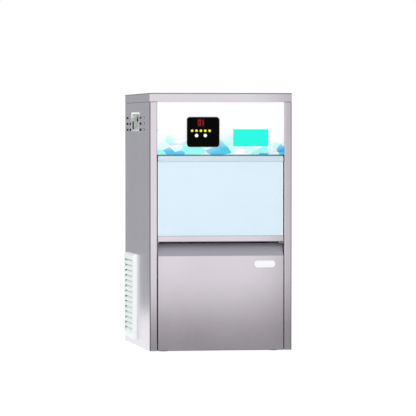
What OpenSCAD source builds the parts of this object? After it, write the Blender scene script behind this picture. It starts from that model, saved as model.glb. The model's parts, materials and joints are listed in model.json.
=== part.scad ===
// Flake ice machine: folded stainless cabinet with an ice bin, an auger freezer and a cooling unit.
// Millimetres, +Z up, front towards -Y, origin under the middle of the overall box.

/* [Cabinet] */
// Width across the outer faces of the side panels
cabinet_w = 400; // [375:1:460]
// Thickness of the stainless sheet
sheet = 1; // [0.8:0.1:1.4]
// Inner radius of the folded edges
bend_r = 1.5; // [1:0.1:2.2]
// Width of each front post
post_w = 21; // [18:0.5:26]
// How far each front post folds back beside the door
post_return = 30; // [29:0.5:36]
// Gap at each side of the door and of the lower front panel
panel_gap = 2.5; // [2.2:0.1:3.5]
// Clearance between pieces that seat in one another
fit = 0.2; // [0.1:0.05:0.3]
// Inward flange along the back edge of each side panel
rear_flange = 12; // [8:1:16]
// Height of the flat lower front panel
lower_h = 263; // [245:1:290]
// Height of the sloped sill above the lower panel
sill_rise = 34.5; // [26:0.5:42]
// How far the sloped sill runs back
sill_depth = 27; // [20:0.5:28]
// Width of the flat cap behind the sill
sill_cap = 11; // [9:0.5:14]
// Length of the folded end of the sill cap and of the lower panel's side edges
sill_hem = 8; // [5:0.5:12]
// Height of the rim of the top cover
cover_lip = 24; // [18:0.5:32]
// How far the top cover stands out past the panels
cover_overhang = 0.2; // [0.1:0.1:0.5]
// Open seam under the rim of the top cover
cover_seam = 1.2; // [0.8:0.1:2]
// How far the flanges that carry the top cover reach down inside the panels
cover_seat = 17; // [8:1:20]
// Thickness of the base pan
base_t = 1.2; // [1:0.1:2]
// Height of the upturned edge of the base pan
base_edge = 20; // [12:1:24]

/* [Feet] */
// Height of the rubber feet
foot_h = 3; // [2:0.5:8]
// Diameter of the rubber feet
foot_d = 26; // [18:1:36]
// Distance of each foot from the cabinet's sides
foot_inset = 45; // [35:1:70]

/* [Door] */
// Height of the door from rail to rail
door_h = 240; // [225:1:270]
// Thickness of the clear blue door panel
door_t = 8; // [5:0.5:9]
// Height of the hinge rail at the top of the door
rail_h = 16; // [14:0.5:20]
// Depth of the door rails
rail_d = 14; // [13:0.5:16]
// Height of the handle rail at the bottom of the door
handle_h = 16.5; // [14:0.5:22]
// How far the panel enters each rail
rail_grip = 6; // [4:0.5:7]
// Set-back of the door rails behind the posts
door_inset = 1; // [0.5:0.1:2]
// Gap between the door and the control panel
door_clear = 2; // [1.8:0.1:4]
// Gap between the sill and the bottom of the door
finger_gap = 5; // [3:0.5:12]
// Diameter of the hinge pins
pin_d = 6; // [4:0.5:7]
// Running clearance of the hinge pins
pin_clear = 0.3; // [0.2:0.05:0.5]
// Length of the hinge bush inside the post
bush_len = 8; // [6:0.5:11]
// Wall of the hinge bush
bush_wall = 2; // [1.5:0.1:3]
// Clear gap between hinge block and rail
block_clear = 0.5; // [0.4:0.1:1]
// Width and depth of the rubber door stops
stop_size = 6; // [4:0.5:8]

/* [Control panel] */
// Height of the printed control panel
fascia_h = 147; // [135:1:170]
// Thickness of the control panel
fascia_t = 2.5; // [2:0.1:4]
// Set-back of the control panel behind the posts
fascia_inset = 1.5; // [1.5:0.1:2.5]
// Width of the keypad
keypad_w = 91; // [80:1:105]
// Height of the keypad
keypad_h = 83; // [76:1:95]
// Corner radius of the keypad
keypad_r = 8.5; // [5:0.5:12]
// Thickness of the keypad plate
keypad_t = 2; // [1.5:0.1:2.4]
// Sideways place of the keypad's centre
keypad_x = -50; // [-70:1:-30]
// Height of the keypad's centre above the control panel's bottom edge
keypad_z = 63; // [56:0.5:80]
// Width of the border of the keypad that lies on the control panel
keypad_border = 3.5; // [3:0.5:6]
// Diameter of the indicator lamps
lamp_d = 7; // [5:0.5:8]
// Spacing of the indicator lamps
lamp_pitch = 12.3; // [10.5:0.1:14]
// Number of indicator lamps
lamp_count = 5; // [3:1:5]
// Height of the lamps above the keypad's centre
lamp_rise = 3.4; // [0:0.1:6]
// How far the lamps stand out of the keypad
lamp_proud = 0.5; // [0.2:0.1:0.8]
// Diameter of the two buttons
button_d = 9.6; // [8:0.1:11]
// Height of the buttons below the keypad's centre
button_drop = 10; // [9:0.1:16]
// Distance between the two buttons
button_pitch = 24.4; // [20:0.1:30]
// Running clearance round each button
button_clear = 0.5; // [0.3:0.1:0.8]
// Travel of the buttons
button_travel = 0.8; // [0.4:0.1:1]
// How far a pressed button still stands out of the keypad
button_flush = 0.4; // [0.2:0.1:0.8]
// Width of the display window
display_w = 22; // [18:0.5:28]
// Height of the display window
display_h = 23; // [18:0.5:25]
// Distance of the display from the edge of the opening behind the keypad
display_margin = 1.5; // [0.5:0.1:3]
// Space between the keypad and the circuit board
board_gap = 8; // [6:0.5:12]
// Thickness of the circuit board
board_t = 1.6; // [1:0.1:2.4]
// Depth of the white control box
control_box_d = 146; // [110:1:170]
// Wall of the control box and of the handle cups
plastic_wall = 2; // [1.5:0.1:2.5]
// Gap between the control box and the side panels
control_box_gap = 6; // [4:0.5:10]

/* [Sides] */
// Distance from the back of the cabinet to the middle of the handle and slots
vent_from_rear = 214; // [205:1:240]
// Height of the middle of the slots above the control panel's bottom edge
vent_rise = 86.5; // [78:0.5:95]
// Length of a vent slot
slot_len = 40; // [30:1:44]
// Height of a vent slot
slot_h = 6.5; // [5:0.5:9]
// Spacing of the slot rows
slot_row = 17; // [14:0.5:20]
// Distance of the inner slots from the handle's opening
slot_gap = 10; // [8:0.5:16]
// Spacing of the slot columns
slot_col = 65; // [58:1:68]
// Length of the opening of the carry handle
handle_len = 144; // [120:1:150]
// Height of the opening of the carry handle
handle_open = 44; // [36:1:48]
// Depth of the carry handle's cup
handle_deep = 28; // [22:1:34]
// Width of the rim round the handle's opening
handle_rim = 5; // [3:0.5:7]
// Length of the louvre grille
grille_len = 196; // [180:1:205]
// Height of the louvre grille
grille_h = 246; // [230:1:250]
// Height of the grille above the base
grille_z = 14; // [10:1:20]
// Distance of the grille from the back of the cabinet
grille_from_rear = 42; // [36:1:50]
// How far the grille stands out
grille_proud = 10; // [9:0.5:14]
// How far the grille's edges slope in
grille_draft = 7; // [4:0.5:10]
// Wall of the grille
grille_t = 2.2; // [1.6:0.1:2.6]
// Width of the plain border round the louvres
louvre_border = 12; // [9:0.5:18]
// Spacing of the louvres
louvre_pitch = 15; // [12:0.5:20]
// Height by which each louvre laps the one above it
louvre_lap = 1; // [0.5:0.1:3]
// Gap between the louvres and the side panel
louvre_gap = 1; // [0.6:0.1:2]

/* [Ice bin] */
// Height of the bin's roof above the control panel's bottom edge
bin_head = 5; // [4:0.5:8]
// Inside depth of the ice bin
bin_d = 250; // [225:1:280]
// Wall of the bin liner
liner_t = 2.5; // [2:0.1:3]
// Foam between the bin and each side panel
side_foam = 24; // [20:0.5:28]
// Foam behind the bin
back_foam = 25; // [18:1:30]
// Foam under the bin
floor_foam = 20; // [15:1:26]
// Foam over the bin
roof_foam = 14; // [10:1:18]
// Margin between the bin's mouth and the front posts
mouth_margin = 10; // [9:0.5:14]
// Diameter of the drain pipe
drain_d = 20; // [16:1:24]
// Diameter of the flange of the bin drain
drain_flange = 40; // [32:1:42]
// Diameter of the ice level probe
probe_d = 10; // [8:0.5:14]
// Length of the ice level probe
probe_len = 60; // [40:1:80]

/* [Freezer column] */
// Depth of the compartment behind the bin
rear_bay = 184; // [180:1:210]
// Distance of the column from the rear panel
column_from_rear = 96; // [92:1:100]
// Distance of the column from the right side panel
column_from_side = 120; // [112:1:124]
// Outer diameter of the freezer barrel
barrel_d = 84; // [80:1:88]
// Wall of the freezer barrel
barrel_wall = 9; // [8:0.5:11]
// Length of the freezer barrel
barrel_len = 222; // [210:1:228]
// Diameter of the barrel's end flanges
flange_d = 98; // [94:1:104]
// Thickness of the barrel's end flanges
flange_t = 5; // [4:0.5:7]
// Diameter of the foam sleeve round the barrel
sleeve_d = 126; // [118:1:130]
// Space left bare at each end of the barrel for its pipe stubs
stub_zone = 26; // [22:1:30]
// Gap between auger and barrel
auger_gap = 0.5; // [0.4:0.1:1]
// Core diameter of the auger
auger_core = 32; // [28:1:38]
// Pitch of the auger
auger_pitch = 42; // [34:1:50]
// Thickness of the auger's flight
flight_t = 5; // [4:0.5:8]
// Diameter of the auger's shaft ends
shaft_d = 20; // [16:0.5:22]
// Running clearance of the shaft, on diameter
shaft_clear = 0.2; // [0.1:0.05:0.4]
// Height of the ice head on top of the barrel
head_h = 36; // [30:1:40]
// Diameter of the ice passages in the head
passage_d = 12; // [9:0.5:13]
// Number of ice passages
passage_count = 8; // [5:1:8]
// Height of the bearing housing under the barrel
bearing_h = 36; // [28:1:42]
// Outer diameter of the lower bearing
bearing_d = 46; // [40:1:52]
// Height of the lower bearing
bearing_w = 14; // [10:1:16]
// Height of the gearbox
gearbox_h = 58; // [50:1:64]
// Diameter of the gearbox
gearbox_d = 112; // [106:1:118]
// Depth of the shaft socket in the gearbox
socket_depth = 28; // [20:1:34]
// Diameter of the drive motor
motor_d = 90; // [80:1:94]
// Length of the drive motor
motor_h = 76; // [60:1:80]
// Thickness of the gearbox stand
stand_t = 3; // [2.5:0.1:4]
// Length of the gearbox stand from front to back
stand_len = 110; // [104:1:120]
// Width of the gearbox stand
stand_w = 130; // [124:1:134]
// Width of the ice chute
chute_w = 100; // [92:1:110]
// Height of the ice chute over the head
chute_h = 56; // [48:1:62]
// Drop of the chute's floor from the head to the bin
chute_drop = 36; // [28:1:40]
// Sheet of the chute
chute_t = 1.5; // [1:0.1:2]
// How far the chute reaches into the bin
chute_reach = 18; // [10:1:26]
// Space between the chute and the bin's roof
chute_roof = 26; // [18:1:34]

/* [Water] */
// Width of the water tank
tank_w = 110; // [96:1:120]
// Depth of the water tank
tank_d = 80; // [78:1:88]
// Height of the water tank
tank_h = 68; // [62:1:80]
// Wall of the water tank
tank_t = 2; // [1.5:0.1:2.5]
// Distance of the tank from the left side panel
tank_from_side = 50; // [30:1:60]
// Height of the tank's lid above the top of the barrel
tank_rise = 8; // [0:1:14]
// Diameter of the water inlet's thread
inlet_d = 26.4; // [20:0.1:27]
// Length of the water inlet's thread
inlet_len = 16; // [12:0.5:18]
// Diameter of the water inlet's shoulder
shoulder_d = 34; // [30:1:38]
// Thickness of the water inlet's shoulder
shoulder_t = 6; // [4:0.5:7]
// Diameter of the inlet's shank through the panel
shank_d = 20; // [16:0.5:22]
// How far the shank reaches into the tank
shank_in = 16; // [12:1:18]
// Distance from the tank's lid down to the inlet
inlet_drop = 20; // [18:0.5:24]
// Diameter of the float
float_d = 30; // [24:1:34]
// Height of the float
float_h = 20; // [16:1:24]
// Diameter of the float's pivot pin
float_pin = 3; // [2:0.5:4]
// Length of the float's arm
float_arm_len = 34; // [32:1:36]
// Bore of the inlet and of the drain outlet
water_bore = 12; // [8:0.5:14]
// Outer diameter of the water hoses
hose_d = 12; // [10:0.5:14]

/* [Cooling unit] */
// Diameter of the compressor's shell
compressor_d = 150; // [140:1:154]
// Height of the compressor's shell
compressor_h = 165; // [150:1:182]
// Space for the pipes between the compressor and the condenser
compressor_lane = 58; // [52:1:64]
// Distance of the compressor from the right side panel
compressor_from_side = 105; // [96:1:108]
// Width of the compressor's foot plate
foot_plate_w = 166; // [150:1:170]
// Depth of the compressor's foot plate
foot_plate_d = 110; // [100:1:124]
// Thickness of the compressor's foot plate
foot_plate_t = 3; // [2.5:0.1:4]
// Height of the rubber mounts under the compressor
mount_h = 12; // [10:0.5:16]
// Diameter of the rubber mounts
mount_d = 24; // [18:1:28]
// Clear height between compressor and bin shelf
head_room = 18; // [14:1:24]
// Height of the side edges of the bin shelf
shelf_edge = 22; // [14:1:30]
// Thickness of the condenser
condenser_t = 40; // [32:1:46]
// Length of the condenser
condenser_len = 186; // [176:1:192]
// Gap between the condenser and the bin shelf
condenser_room = 6; // [4:0.5:10]
// Gap between the condenser and the left side panel
condenser_gap = 9; // [6:0.5:12]
// Number of condenser fins
fin_count = 20; // [12:1:24]
// Thickness of a condenser fin
fin_t = 0.8; // [0.5:0.1:1.2]
// Number of condenser tubes in each of two rows
tube_count = 5; // [4:1:6]
// Diameter of the refrigerant tubes
tube_d = 8; // [6:0.5:9.5]
// Diameter of the condenser fan
fan_d = 148; // [136:1:152]
// Number of fan blades
blade_count = 5; // [4:1:6]
// Width of a fan blade along its chord
blade_chord = 40; // [32:1:42]
// Pitch of the fan blades, in degrees
blade_pitch = 30; // [22:1:34]
// Thickness of a fan blade
blade_t = 1.8; // [1.2:0.1:2.4]
// Diameter of the fan's hub
hub_d = 36; // [28:1:44]
// Tip clearance of the fan
tip_gap = 5; // [3:0.5:7]
// Depth of the fan's ring
ring_d = 26; // [22:1:30]
// Diameter of the fan motor
fan_motor_d = 68; // [58:1:76]
// Length of the fan motor
fan_motor_len = 54; // [44:1:60]
// Diameter of the fan motor's shaft
fan_shaft = 6; // [5:0.5:8]
// Width of the fan bracket's strip
bracket_w = 20; // [14:1:26]
// Diameter of the filter dryer
dryer_d = 20; // [16:1:26]
// Length of the filter dryer
dryer_len = 90; // [70:1:100]
// Diameter of the capillary pipe
capillary_d = 5; // [4:0.5:6]
// Width of the power inlet's flange
socket_w = 50; // [44:1:56]
// Height of the power inlet's flange
socket_h = 26; // [24:1:32]
// Distance of the power inlet from the right side panel
socket_from_side = 72; // [50:1:90]
// Height of the power inlet above the base
socket_rise = 60; // [45:1:72]

/* [Hidden] */

// Segments in each fold, in each rounded corner, round a swept pipe and round a true circle
bend_steps = 4;
corner_steps = 6;
pipe_sides = 10;
$fn = 64;
// Overlap that lets a cut pass clean through a face
eps = 1;

// Heights of the cabinet's steps, from the floor up
z_base = foot_h;
z_floor = z_base + base_t;
z_sill = z_base + lower_h;
z_rim = z_sill + sill_rise;
z_door0 = z_rim + finger_gap;
z_door1 = z_door0 + door_h;
z_fascia0 = z_door1 + door_clear;
z_lip = z_fascia0 + fascia_h;
z_top = z_lip + cover_lip;
z_panel = z_lip - cover_seam;
z_seat = z_top - sheet - bend_r - fit;
z_shelf = z_floor + mount_h + foot_plate_t + compressor_h + head_room;
z_bin0 = z_shelf + sheet + floor_foam;
z_bin1 = z_fascia0 + bin_head;
z_roof = z_bin1 + roof_foam;

// Depths, from the front plane back
front_frame = post_return + sheet;
bin_rear = front_frame + bin_d + 2 * liner_t;
foam_rear = bin_rear + back_foam;
cabinet_d = foam_rear + rear_bay + sheet;
rear_reach = shoulder_t + inlet_len;
yf = (cover_overhang - cabinet_d - rear_reach) / 2;
yr = yf + cabinet_d;
y_inside = yr - sheet;

// Half widths
half_w = cabinet_w / 2;
slot_inner = handle_len / 2 + slot_gap + slot_len / 2;
inner_w = half_w - sheet;
opening_w = half_w - post_w;
panel_w = opening_w - panel_gap;
liner_w = inner_w - side_foam;
mouth_w = opening_w - mouth_margin;

// Hinge axis of the door
hinge_y = yf + door_inset + rail_d / 2;
hinge_z = z_door1 - rail_d / 2;
bush_d = pin_d + 2 * pin_clear + 2 * bush_wall;
panel_y = yf + door_inset + (rail_d - door_t) / 2;

// Keypad places
key_y = yf + fascia_inset - keypad_t;
key_z = z_fascia0 + keypad_z;
board_y = key_y + keypad_t + board_gap;
lamp_z = key_z + lamp_rise;
button_z = key_z - button_drop;
display_z = key_z + keypad_h / 2 - keypad_border - display_margin - display_h / 2;
button_proud = button_flush + button_travel;
button_flange_t = 1.2;
button_slack = 0.3;
board_margin = 2;

// Side pattern
vent_y = yr - vent_from_rear;
vent_z = z_fascia0 + vent_rise;
grille_y1 = yr - grille_from_rear;
grille_y0 = grille_y1 - grille_len;
grille_z0 = z_base + grille_z;
grille_z1 = grille_z0 + grille_h;
louvre_depth = grille_proud - grille_t - louvre_gap;
louvre_y0 = grille_y0 + grille_draft + louvre_border;
louvre_y1 = grille_y1 - grille_draft - louvre_border;
louvre_count = floor((grille_h - grille_draft - 2 * louvre_border) / louvre_pitch);
louvre_z0 = grille_z0 + (grille_h - louvre_count * louvre_pitch) / 2;
louvre_z1 = louvre_z0 + louvre_count * louvre_pitch;

// Freezer column, stacked down from the bin's roof
col_x = half_w - column_from_side;
col_y = yr - column_from_rear;
chute_z1 = z_bin1 - chute_roof;
z_head1 = chute_z1 - chute_h;
z_barrel1 = z_head1 - head_h;
z_barrel0 = z_barrel1 - barrel_len;
z_gear1 = z_barrel0 - bearing_h;
z_gear0 = z_gear1 - gearbox_h;
barrel_bore = barrel_d - 2 * barrel_wall;
neck_step = 4;
bearing_lip = 4;
auger_d = barrel_bore - 2 * auger_gap;
chute_front_gap = 2;
chute_back_gap = 4;
chute_y0 = yf + bin_rear - liner_t - chute_reach;
chute_y1 = col_y - barrel_d / 2 - chute_front_gap;
chute_y2 = col_y + barrel_d / 2 + chute_back_gap;
port_z0 = z_barrel0 + flange_t + (stub_zone - flange_t) / 2;
port_z1 = z_barrel1 - flange_t - (stub_zone - flange_t) / 2;
port_len = 14;

// Water tank and its inlet
tank_x0 = -half_w + tank_from_side;
tank_x = tank_x0 + tank_w / 2;
tank_y0 = y_inside - tank_d;
tank_z1 = z_barrel1 + tank_rise;
tank_z0 = tank_z1 - tank_h;
inlet_z = tank_z1 - inlet_drop;
pivot_y = y_inside - tank_t - shank_in;
lid_t = 2;
float_y = pivot_y - float_arm_len;
float_z = inlet_z - float_h;

// Cooling unit
cond_x0 = -inner_w + condenser_gap;
cond_x1 = cond_x0 + condenser_t;
cond_y0 = grille_y0 + (grille_len - condenser_len) / 2;
cond_y1 = cond_y0 + condenser_len;
cond_z1 = z_shelf - condenser_room;
comp_x = half_w - compressor_from_side;
comp_y = cond_y0 - compressor_lane - compressor_d / 2;
comp_z0 = z_floor + mount_h;
comp_z = comp_z0 + foot_plate_t;
fan_y = (cond_y0 + cond_y1) / 2;
fan_z = (z_floor + cond_z1) / 2;
ring_r = fan_d / 2 + tip_gap;
shroud_x = cond_x1 + sheet;
bracket_gap = 4;
bracket_t = 2 * sheet;
bracket_x = shroud_x + ring_d + bracket_gap;
fan_x = shroud_x + (ring_d + bracket_gap) / 2;
fan_motor_x0 = bracket_x + bracket_t;
fan_motor_x1 = fan_motor_x0 + fan_motor_len;
plate_inset = 4;
lane_y = (comp_y + compressor_d / 2 + cond_y0) / 2;
dryer_reach = 90;
dryer_x = cond_x1 + dryer_reach;
dryer_z = fan_z - dryer_len / 2;
bend_tube = 1.5 * tube_d;
stub_rise = 36;
stub_z0 = z_floor + stub_rise;
stub_z1 = cond_z1 - stub_rise / 2;
stub_len = 10;
weld_proud = 3;
discharge_z = comp_z + compressor_h * 0.72;
suction_z = comp_z + compressor_h * 0.82;
port_x = compressor_d * 0.3;
port_y = comp_y + compressor_d / 2 + stub_len;
suction_gap = 20;
suction_x = col_x + sleeve_d / 2 + suction_gap;

// Bin drain
drain_x = (fan_motor_x1 + col_x - stand_w / 2) / 2;
drain_y = yf + bin_rear - liner_t - drain_flange / 2 - liner_t;
drain_tail = 18;
drain_z = z_shelf - drain_tail;
outlet_z = z_gear0 - stand_t / 2;
elbow_r = 1.5 * hose_d;

// Power inlet
socket_x = half_w - socket_from_side;
socket_z = z_base + socket_rise;
socket_body = [28, 20];
socket_in = 20;
socket_wall = 2;
socket_round = 4;

// Vectors in the plane
function unit(v) = v / norm(v);
function left_of(v) = [-v[1], v[0]];
function turned(v, a) = [v[0] * cos(a) - v[1] * sin(a), v[0] * sin(a) + v[1] * cos(a)];

function arc_points(centre, r, a0, a1, steps) =
  [for (i = [0:steps]) centre + r * [cos(a0 + (a1 - a0) * i / steps), sin(a0 + (a1 - a0) * i / steps)]];

function round_rect(w, h, r) = concat(
  arc_points([w / 2 - r, h / 2 - r], r, 0, 90, corner_steps),
  arc_points([-w / 2 + r, h / 2 - r], r, 90, 180, corner_steps),
  arc_points([-w / 2 + r, -h / 2 + r], r, 180, 270, corner_steps),
  arc_points([w / 2 - r, -h / 2 + r], r, 270, 360, corner_steps));

// One bend of a folded sheet, on the face that lies off to the right of its path
function bend_points(a, b, c, off, t) =
  let (
    u = unit(b - a),
    v = unit(c - b),
    side = sign(u[0] * v[1] - u[1] * v[0]),
    angle = acos(max(-1, min(1, u * v))),
    inside = side < 0 ? off > 0 : off == 0,
    r = inside ? bend_r : bend_r + t,
    corner = b - off * (left_of(u) + left_of(v)) / (1 + u * v),
    start = corner - u * r * tan(angle / 2),
    centre = start + side * r * left_of(u))
  [for (i = [0:bend_steps]) centre + turned(start - centre, side * angle * i / bend_steps)];

function fold_face(path, off, t) =
  let (
    last = len(path) - 1,
    u0 = unit(path[1] - path[0]),
    u1 = unit(path[last] - path[last - 1]))
  concat(
    [path[0] - off * left_of(u0)],
    [for (i = [1:last - 1]) each bend_points(path[i - 1], path[i], path[i + 1], off, t)],
    [path[last] - off * left_of(u1)]);

function reversed(list) = [for (i = [len(list) - 1:-1:0]) list[i]];

function fold_outline(path, t) = concat(fold_face(path, 0, t), reversed(fold_face(path, t, t)));

// Folded sheet whose path runs along its outer face, with the thickness to the right of the path
module folded(path, t, length) {
  linear_extrude(length)
    polygon(fold_outline(path, t));
}

// Outline in X and Z, extruded back from y
module facing_front(y, t) {
  translate([0, y + t, 0])
    rotate([90, 0, 0])
      linear_extrude(t)
        children();
}

// Outline in Y and Z, extruded to the right from x
module facing_side(x, t) {
  translate([x, 0, 0])
    rotate([90, 0, 90])
      linear_extrude(t)
        children();
}

module box(low, high) {
  translate(low)
    cube(high - low);
}

module along_x(x0, x1, d) {
  translate([x0, 0, 0])
    rotate([0, 90, 0])
      cylinder(d = d, h = x1 - x0);
}

module along_y(y0, y1, d) {
  translate([0, y0, 0])
    rotate([-90, 0, 0])
      cylinder(d = d, h = y1 - y0);
}

// Swept round pipe
function corner_arc(a, b, c, r) =
  let (
    u = unit(b - a),
    v = unit(c - b),
    angle = acos(max(-1, min(1, u * v))),
    start = b - u * r * tan(angle / 2),
    inward = unit(v - u * (u * v)),
    centre = start + inward * r)
  [for (i = [0:bend_steps]) centre - inward * r * cos(angle * i / bend_steps) + u * r * sin(angle * i / bend_steps)];

function rounded_route(route, r) = concat(
  [route[0]],
  [for (i = [1:len(route) - 2]) each corner_arc(route[i - 1], route[i], route[i + 1], r)],
  [route[len(route) - 1]]);

function tangents(p) =
  let (last = len(p) - 1)
  [for (i = [0:last]) unit(p[min(i + 1, last)] - p[max(i - 1, 0)])];

function first_normal(t) = unit(abs(t[2]) < 0.7 ? cross(t, [0, 0, 1]) : cross(t, [1, 0, 0]));

function carried_normals(t, i, n) =
  i == len(t) ? [] : let (m = unit(n - (n * t[i]) * t[i])) concat([m], carried_normals(t, i + 1, m));

// Closed skin over rings of s points, from ring 0 to ring last
module skin(points, s, last) {
  sides = [
    for (i = [0:last - 1], j = [0:s - 1])
      [i * s + j, (i + 1) * s + j, (i + 1) * s + (j + 1) % s, i * s + (j + 1) % s]
  ];
  ends = [[for (j = [0:s - 1]) j], [for (j = [0:s - 1]) last * s + s - 1 - j]];
  polyhedron(points, concat(sides, ends), convexity = 8);
}

module pipe(route, d, r) {
  p = rounded_route(route, r);
  t = tangents(p);
  n = carried_normals(t, 0, first_normal(t[0]));
  s = pipe_sides;
  last = len(p) - 1;
  points = [
    for (i = [0:last], j = [0:s - 1])
      p[i] + d / 2 * (n[i] * cos(360 * j / s) + cross(t[i], n[i]) * sin(360 * j / s))
  ];
  skin(points, s, last);
}

// Colours as the photo shows them
steel = [0.74, 0.72, 0.75];
white_plastic = [0.93, 0.97, 0.97];
clear_blue = [0.84, 0.92, 0.97];
black_plastic = [0.05, 0.05, 0.05];
foam_yellow = [0.93, 0.88, 0.72];
copper = [0.72, 0.45, 0.32];
dark_grey = [0.22, 0.22, 0.24];
brass = [0.78, 0.64, 0.36];

// Cabinet

module base_pan() {
  x1 = inner_w - fit;
  y0 = yf + front_frame;
  y1 = y_inside - sheet - bend_r - fit;
  notch = bend_r + base_t;
  color(steel) union() {
    box([-x1, y0, z_base], [x1, y1, z_floor]);
    box([-x1, y0 + notch, z_base], [-x1 + base_t, y1 - notch, z_base + base_edge]);
    box([x1 - base_t, y0 + notch, z_base], [x1, y1 - notch, z_base + base_edge]);
    box([-x1 + notch, y0, z_base], [x1 - notch, y0 + base_t, z_base + base_edge]);
    box([-x1 + notch, y1 - base_t, z_base], [x1 - notch, y1, z_base + base_edge]);
  }
}

module rubber_feet() {
  color(dark_grey)
    for (x = [-half_w + foot_inset, half_w - foot_inset], y = [yf + foot_inset, yr - foot_inset])
      translate([x, y, 0])
        cylinder(d1 = foot_d - foot_h, d2 = foot_d, h = foot_h);
}

module vent_slots() {
  for (row = [-1:1], side = [-1, 1], col = [0, 1])
    if (!(row == 1 && side == 1 && col == 0))
      translate([vent_y + side * (slot_inner + col * slot_col), vent_z + row * slot_row])
        polygon(round_rect(slot_len, slot_h, slot_h / 2.2));
}

module side_panel() {
  path = [
    [-opening_w, yf + post_return],
    [-opening_w, yf],
    [-half_w, yf],
    [-half_w, y_inside],
    [-half_w + rear_flange, y_inside]
  ];
  handle_cut = [handle_len + 2 * plastic_wall + 2 * fit, handle_open + 2 * plastic_wall + 2 * fit];
  difference() {
    union() {
      translate([0, 0, z_base])
        folded(path, sheet, z_panel - z_base);
      box(
        [-inner_w, yf + sheet, z_panel - cover_seat],
        [-inner_w + sheet, y_inside - fit, z_seat]);
      box(
        [-inner_w, yf + sheet, z_panel - cover_seat],
        [-opening_w - 2 * sheet, yf + 2 * sheet, z_seat]);
    }
    facing_side(-half_w - eps, sheet + 2 * eps) {
      vent_slots();
      translate([vent_y, handle_z()])
        square(handle_cut, center = true);
      translate([louvre_y0, louvre_z0])
        square([louvre_y1 - louvre_y0, louvre_z1 - louvre_z0]);
    }
    translate([0, hinge_y, hinge_z])
      along_x(-opening_w - sheet - eps, -opening_w + eps, bush_d + 2 * fit);
  }
}

module left_side_panel() {
  color(steel)
    side_panel();
}

module right_side_panel() {
  color(steel)
    mirror([1, 0, 0])
      side_panel();
}

module rear_vents() {
  first_row = 40;
  for (row = [0:5], col = [-1, 1])
    translate([col * half_w / 2, z_roof + first_row + row * slot_row])
      polygon(round_rect(2 * slot_len, slot_h, slot_h / 2.2));
}

module rear_panel() {
  color(steel)
    difference() {
      union() {
        box([-half_w, y_inside, z_base], [half_w, yr, z_panel]);
        box(
          [-half_w + rear_flange + fit, y_inside - sheet, z_panel - cover_seat],
          [half_w - rear_flange - fit, y_inside, z_seat]);
      }
      facing_front(y_inside - eps, sheet + 2 * eps) {
        rear_vents();
        translate([socket_x, socket_z])
          square([socket_body[0] + 2 * fit, socket_body[1] + 2 * fit], center = true);
      }
      translate([tank_x, 0, inlet_z])
        along_y(y_inside - eps, yr + eps, shank_d + 2 * fit);
      translate([drain_x, 0, outlet_z])
        along_y(y_inside - eps, yr + eps, drain_d + 2 * fit);
    }
}

module top_cover() {
  x1 = half_w + cover_overhang;
  y0 = yf - cover_overhang;
  y1 = yr + cover_overhang;
  path = [[y0, z_lip], [y0, z_top], [y1, z_top], [y1, z_lip]];
  color(steel) union() {
    facing_side(-x1, 2 * x1)
      polygon(fold_outline(path, sheet));
    for (x = [-x1, x1 - sheet])
      box([x, y0 + sheet / 2, z_lip], [x + sheet, y1 - sheet / 2, z_top - sheet / 2 - bend_r]);
    for (x = [-x1, x1 - sheet])
      box([x, y0 + sheet + bend_r, z_lip], [x + sheet, y1 - sheet - bend_r, z_top - sheet / 2]);
  }
}

module lower_front_panel() {
  face_path = [
    [yf + front_frame - fit, z_base],
    [yf, z_base],
    [yf, z_sill],
    [yf + sill_depth, z_rim]
  ];
  cap_path = [
    [yf + sill_depth / 2, z_sill + sill_rise / 2],
    [yf + sill_depth, z_rim],
    [yf + sill_depth + sill_cap, z_rim],
    [yf + sill_depth + sill_cap, z_rim - sill_hem]
  ];
  cap_w = mouth_w - fit;
  color(steel) union() {
    facing_side(-panel_w, 2 * panel_w)
      polygon(fold_outline(face_path, sheet));
    facing_side(-cap_w, 2 * cap_w)
      polygon(fold_outline(cap_path, sheet));
    for (x = [-panel_w, panel_w - sheet])
      box([x, yf + sheet / 2, z_base + sheet + bend_r], [x + sheet, yf + sill_hem, z_sill - bend_r]);
  }
}

module control_fascia() {
  x1 = opening_w - fit;
  y0 = yf + fascia_inset;
  hole_w = keypad_w - 2 * keypad_border;
  hole_h = keypad_h - 2 * keypad_border;
  color(white_plastic)
    difference() {
      box([-x1, y0, z_fascia0], [x1, y0 + fascia_t, z_top - sheet - bend_r]);
      facing_front(y0 - eps, fascia_t + 2 * eps)
        translate([keypad_x, key_z])
          square([hole_w, hole_h], center = true);
    }
}

// Side grille and carry handle, drawn for the left side

module grille_body(inset, x_face) {
  g = grille_draft;
  x0 = -half_w;
  intersection() {
    translate([0, 0, grille_z0 + inset])
      linear_extrude(grille_h - 2 * inset)
        polygon([
          [x0, grille_y0 + inset],
          [x0, grille_y1 - inset],
          [x_face, grille_y1 - g - inset],
          [x_face, grille_y0 + g + inset]
        ]);
    translate([0, grille_y1, 0])
      rotate([90, 0, 0])
        linear_extrude(grille_len)
          polygon([
            [x0, grille_z0 + inset],
            [x0, grille_z1 - inset],
            [x_face, grille_z1 - g / 2 - inset],
            [x_face, grille_z0 + g / 2 + inset]
          ]);
  }
}

module louvre_blades() {
  x_face = -half_w - grille_proud;
  blade_h = louvre_pitch + louvre_lap;
  translate([0, louvre_y1 + eps, 0])
    rotate([90, 0, 0])
      linear_extrude(louvre_y1 - louvre_y0 + 2 * eps)
        for (i = [0:louvre_count - 1])
          translate([x_face, louvre_z0 + i * louvre_pitch])
            polygon([[0, 0], [grille_t, 0], [grille_t + louvre_depth, blade_h], [louvre_depth, blade_h]]);
}

module side_grille() {
  x_face = -half_w - grille_proud;
  union() {
    difference() {
      grille_body(0, x_face);
      translate([eps / 100, 0, 0])
        grille_body(grille_t, x_face + grille_t);
      box([x_face - eps, louvre_y0, louvre_z0], [x_face + grille_t + eps, louvre_y1, louvre_z1]);
    }
    louvre_blades();
  }
}

module left_grille() {
  color(white_plastic)
    side_grille();
}

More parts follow.
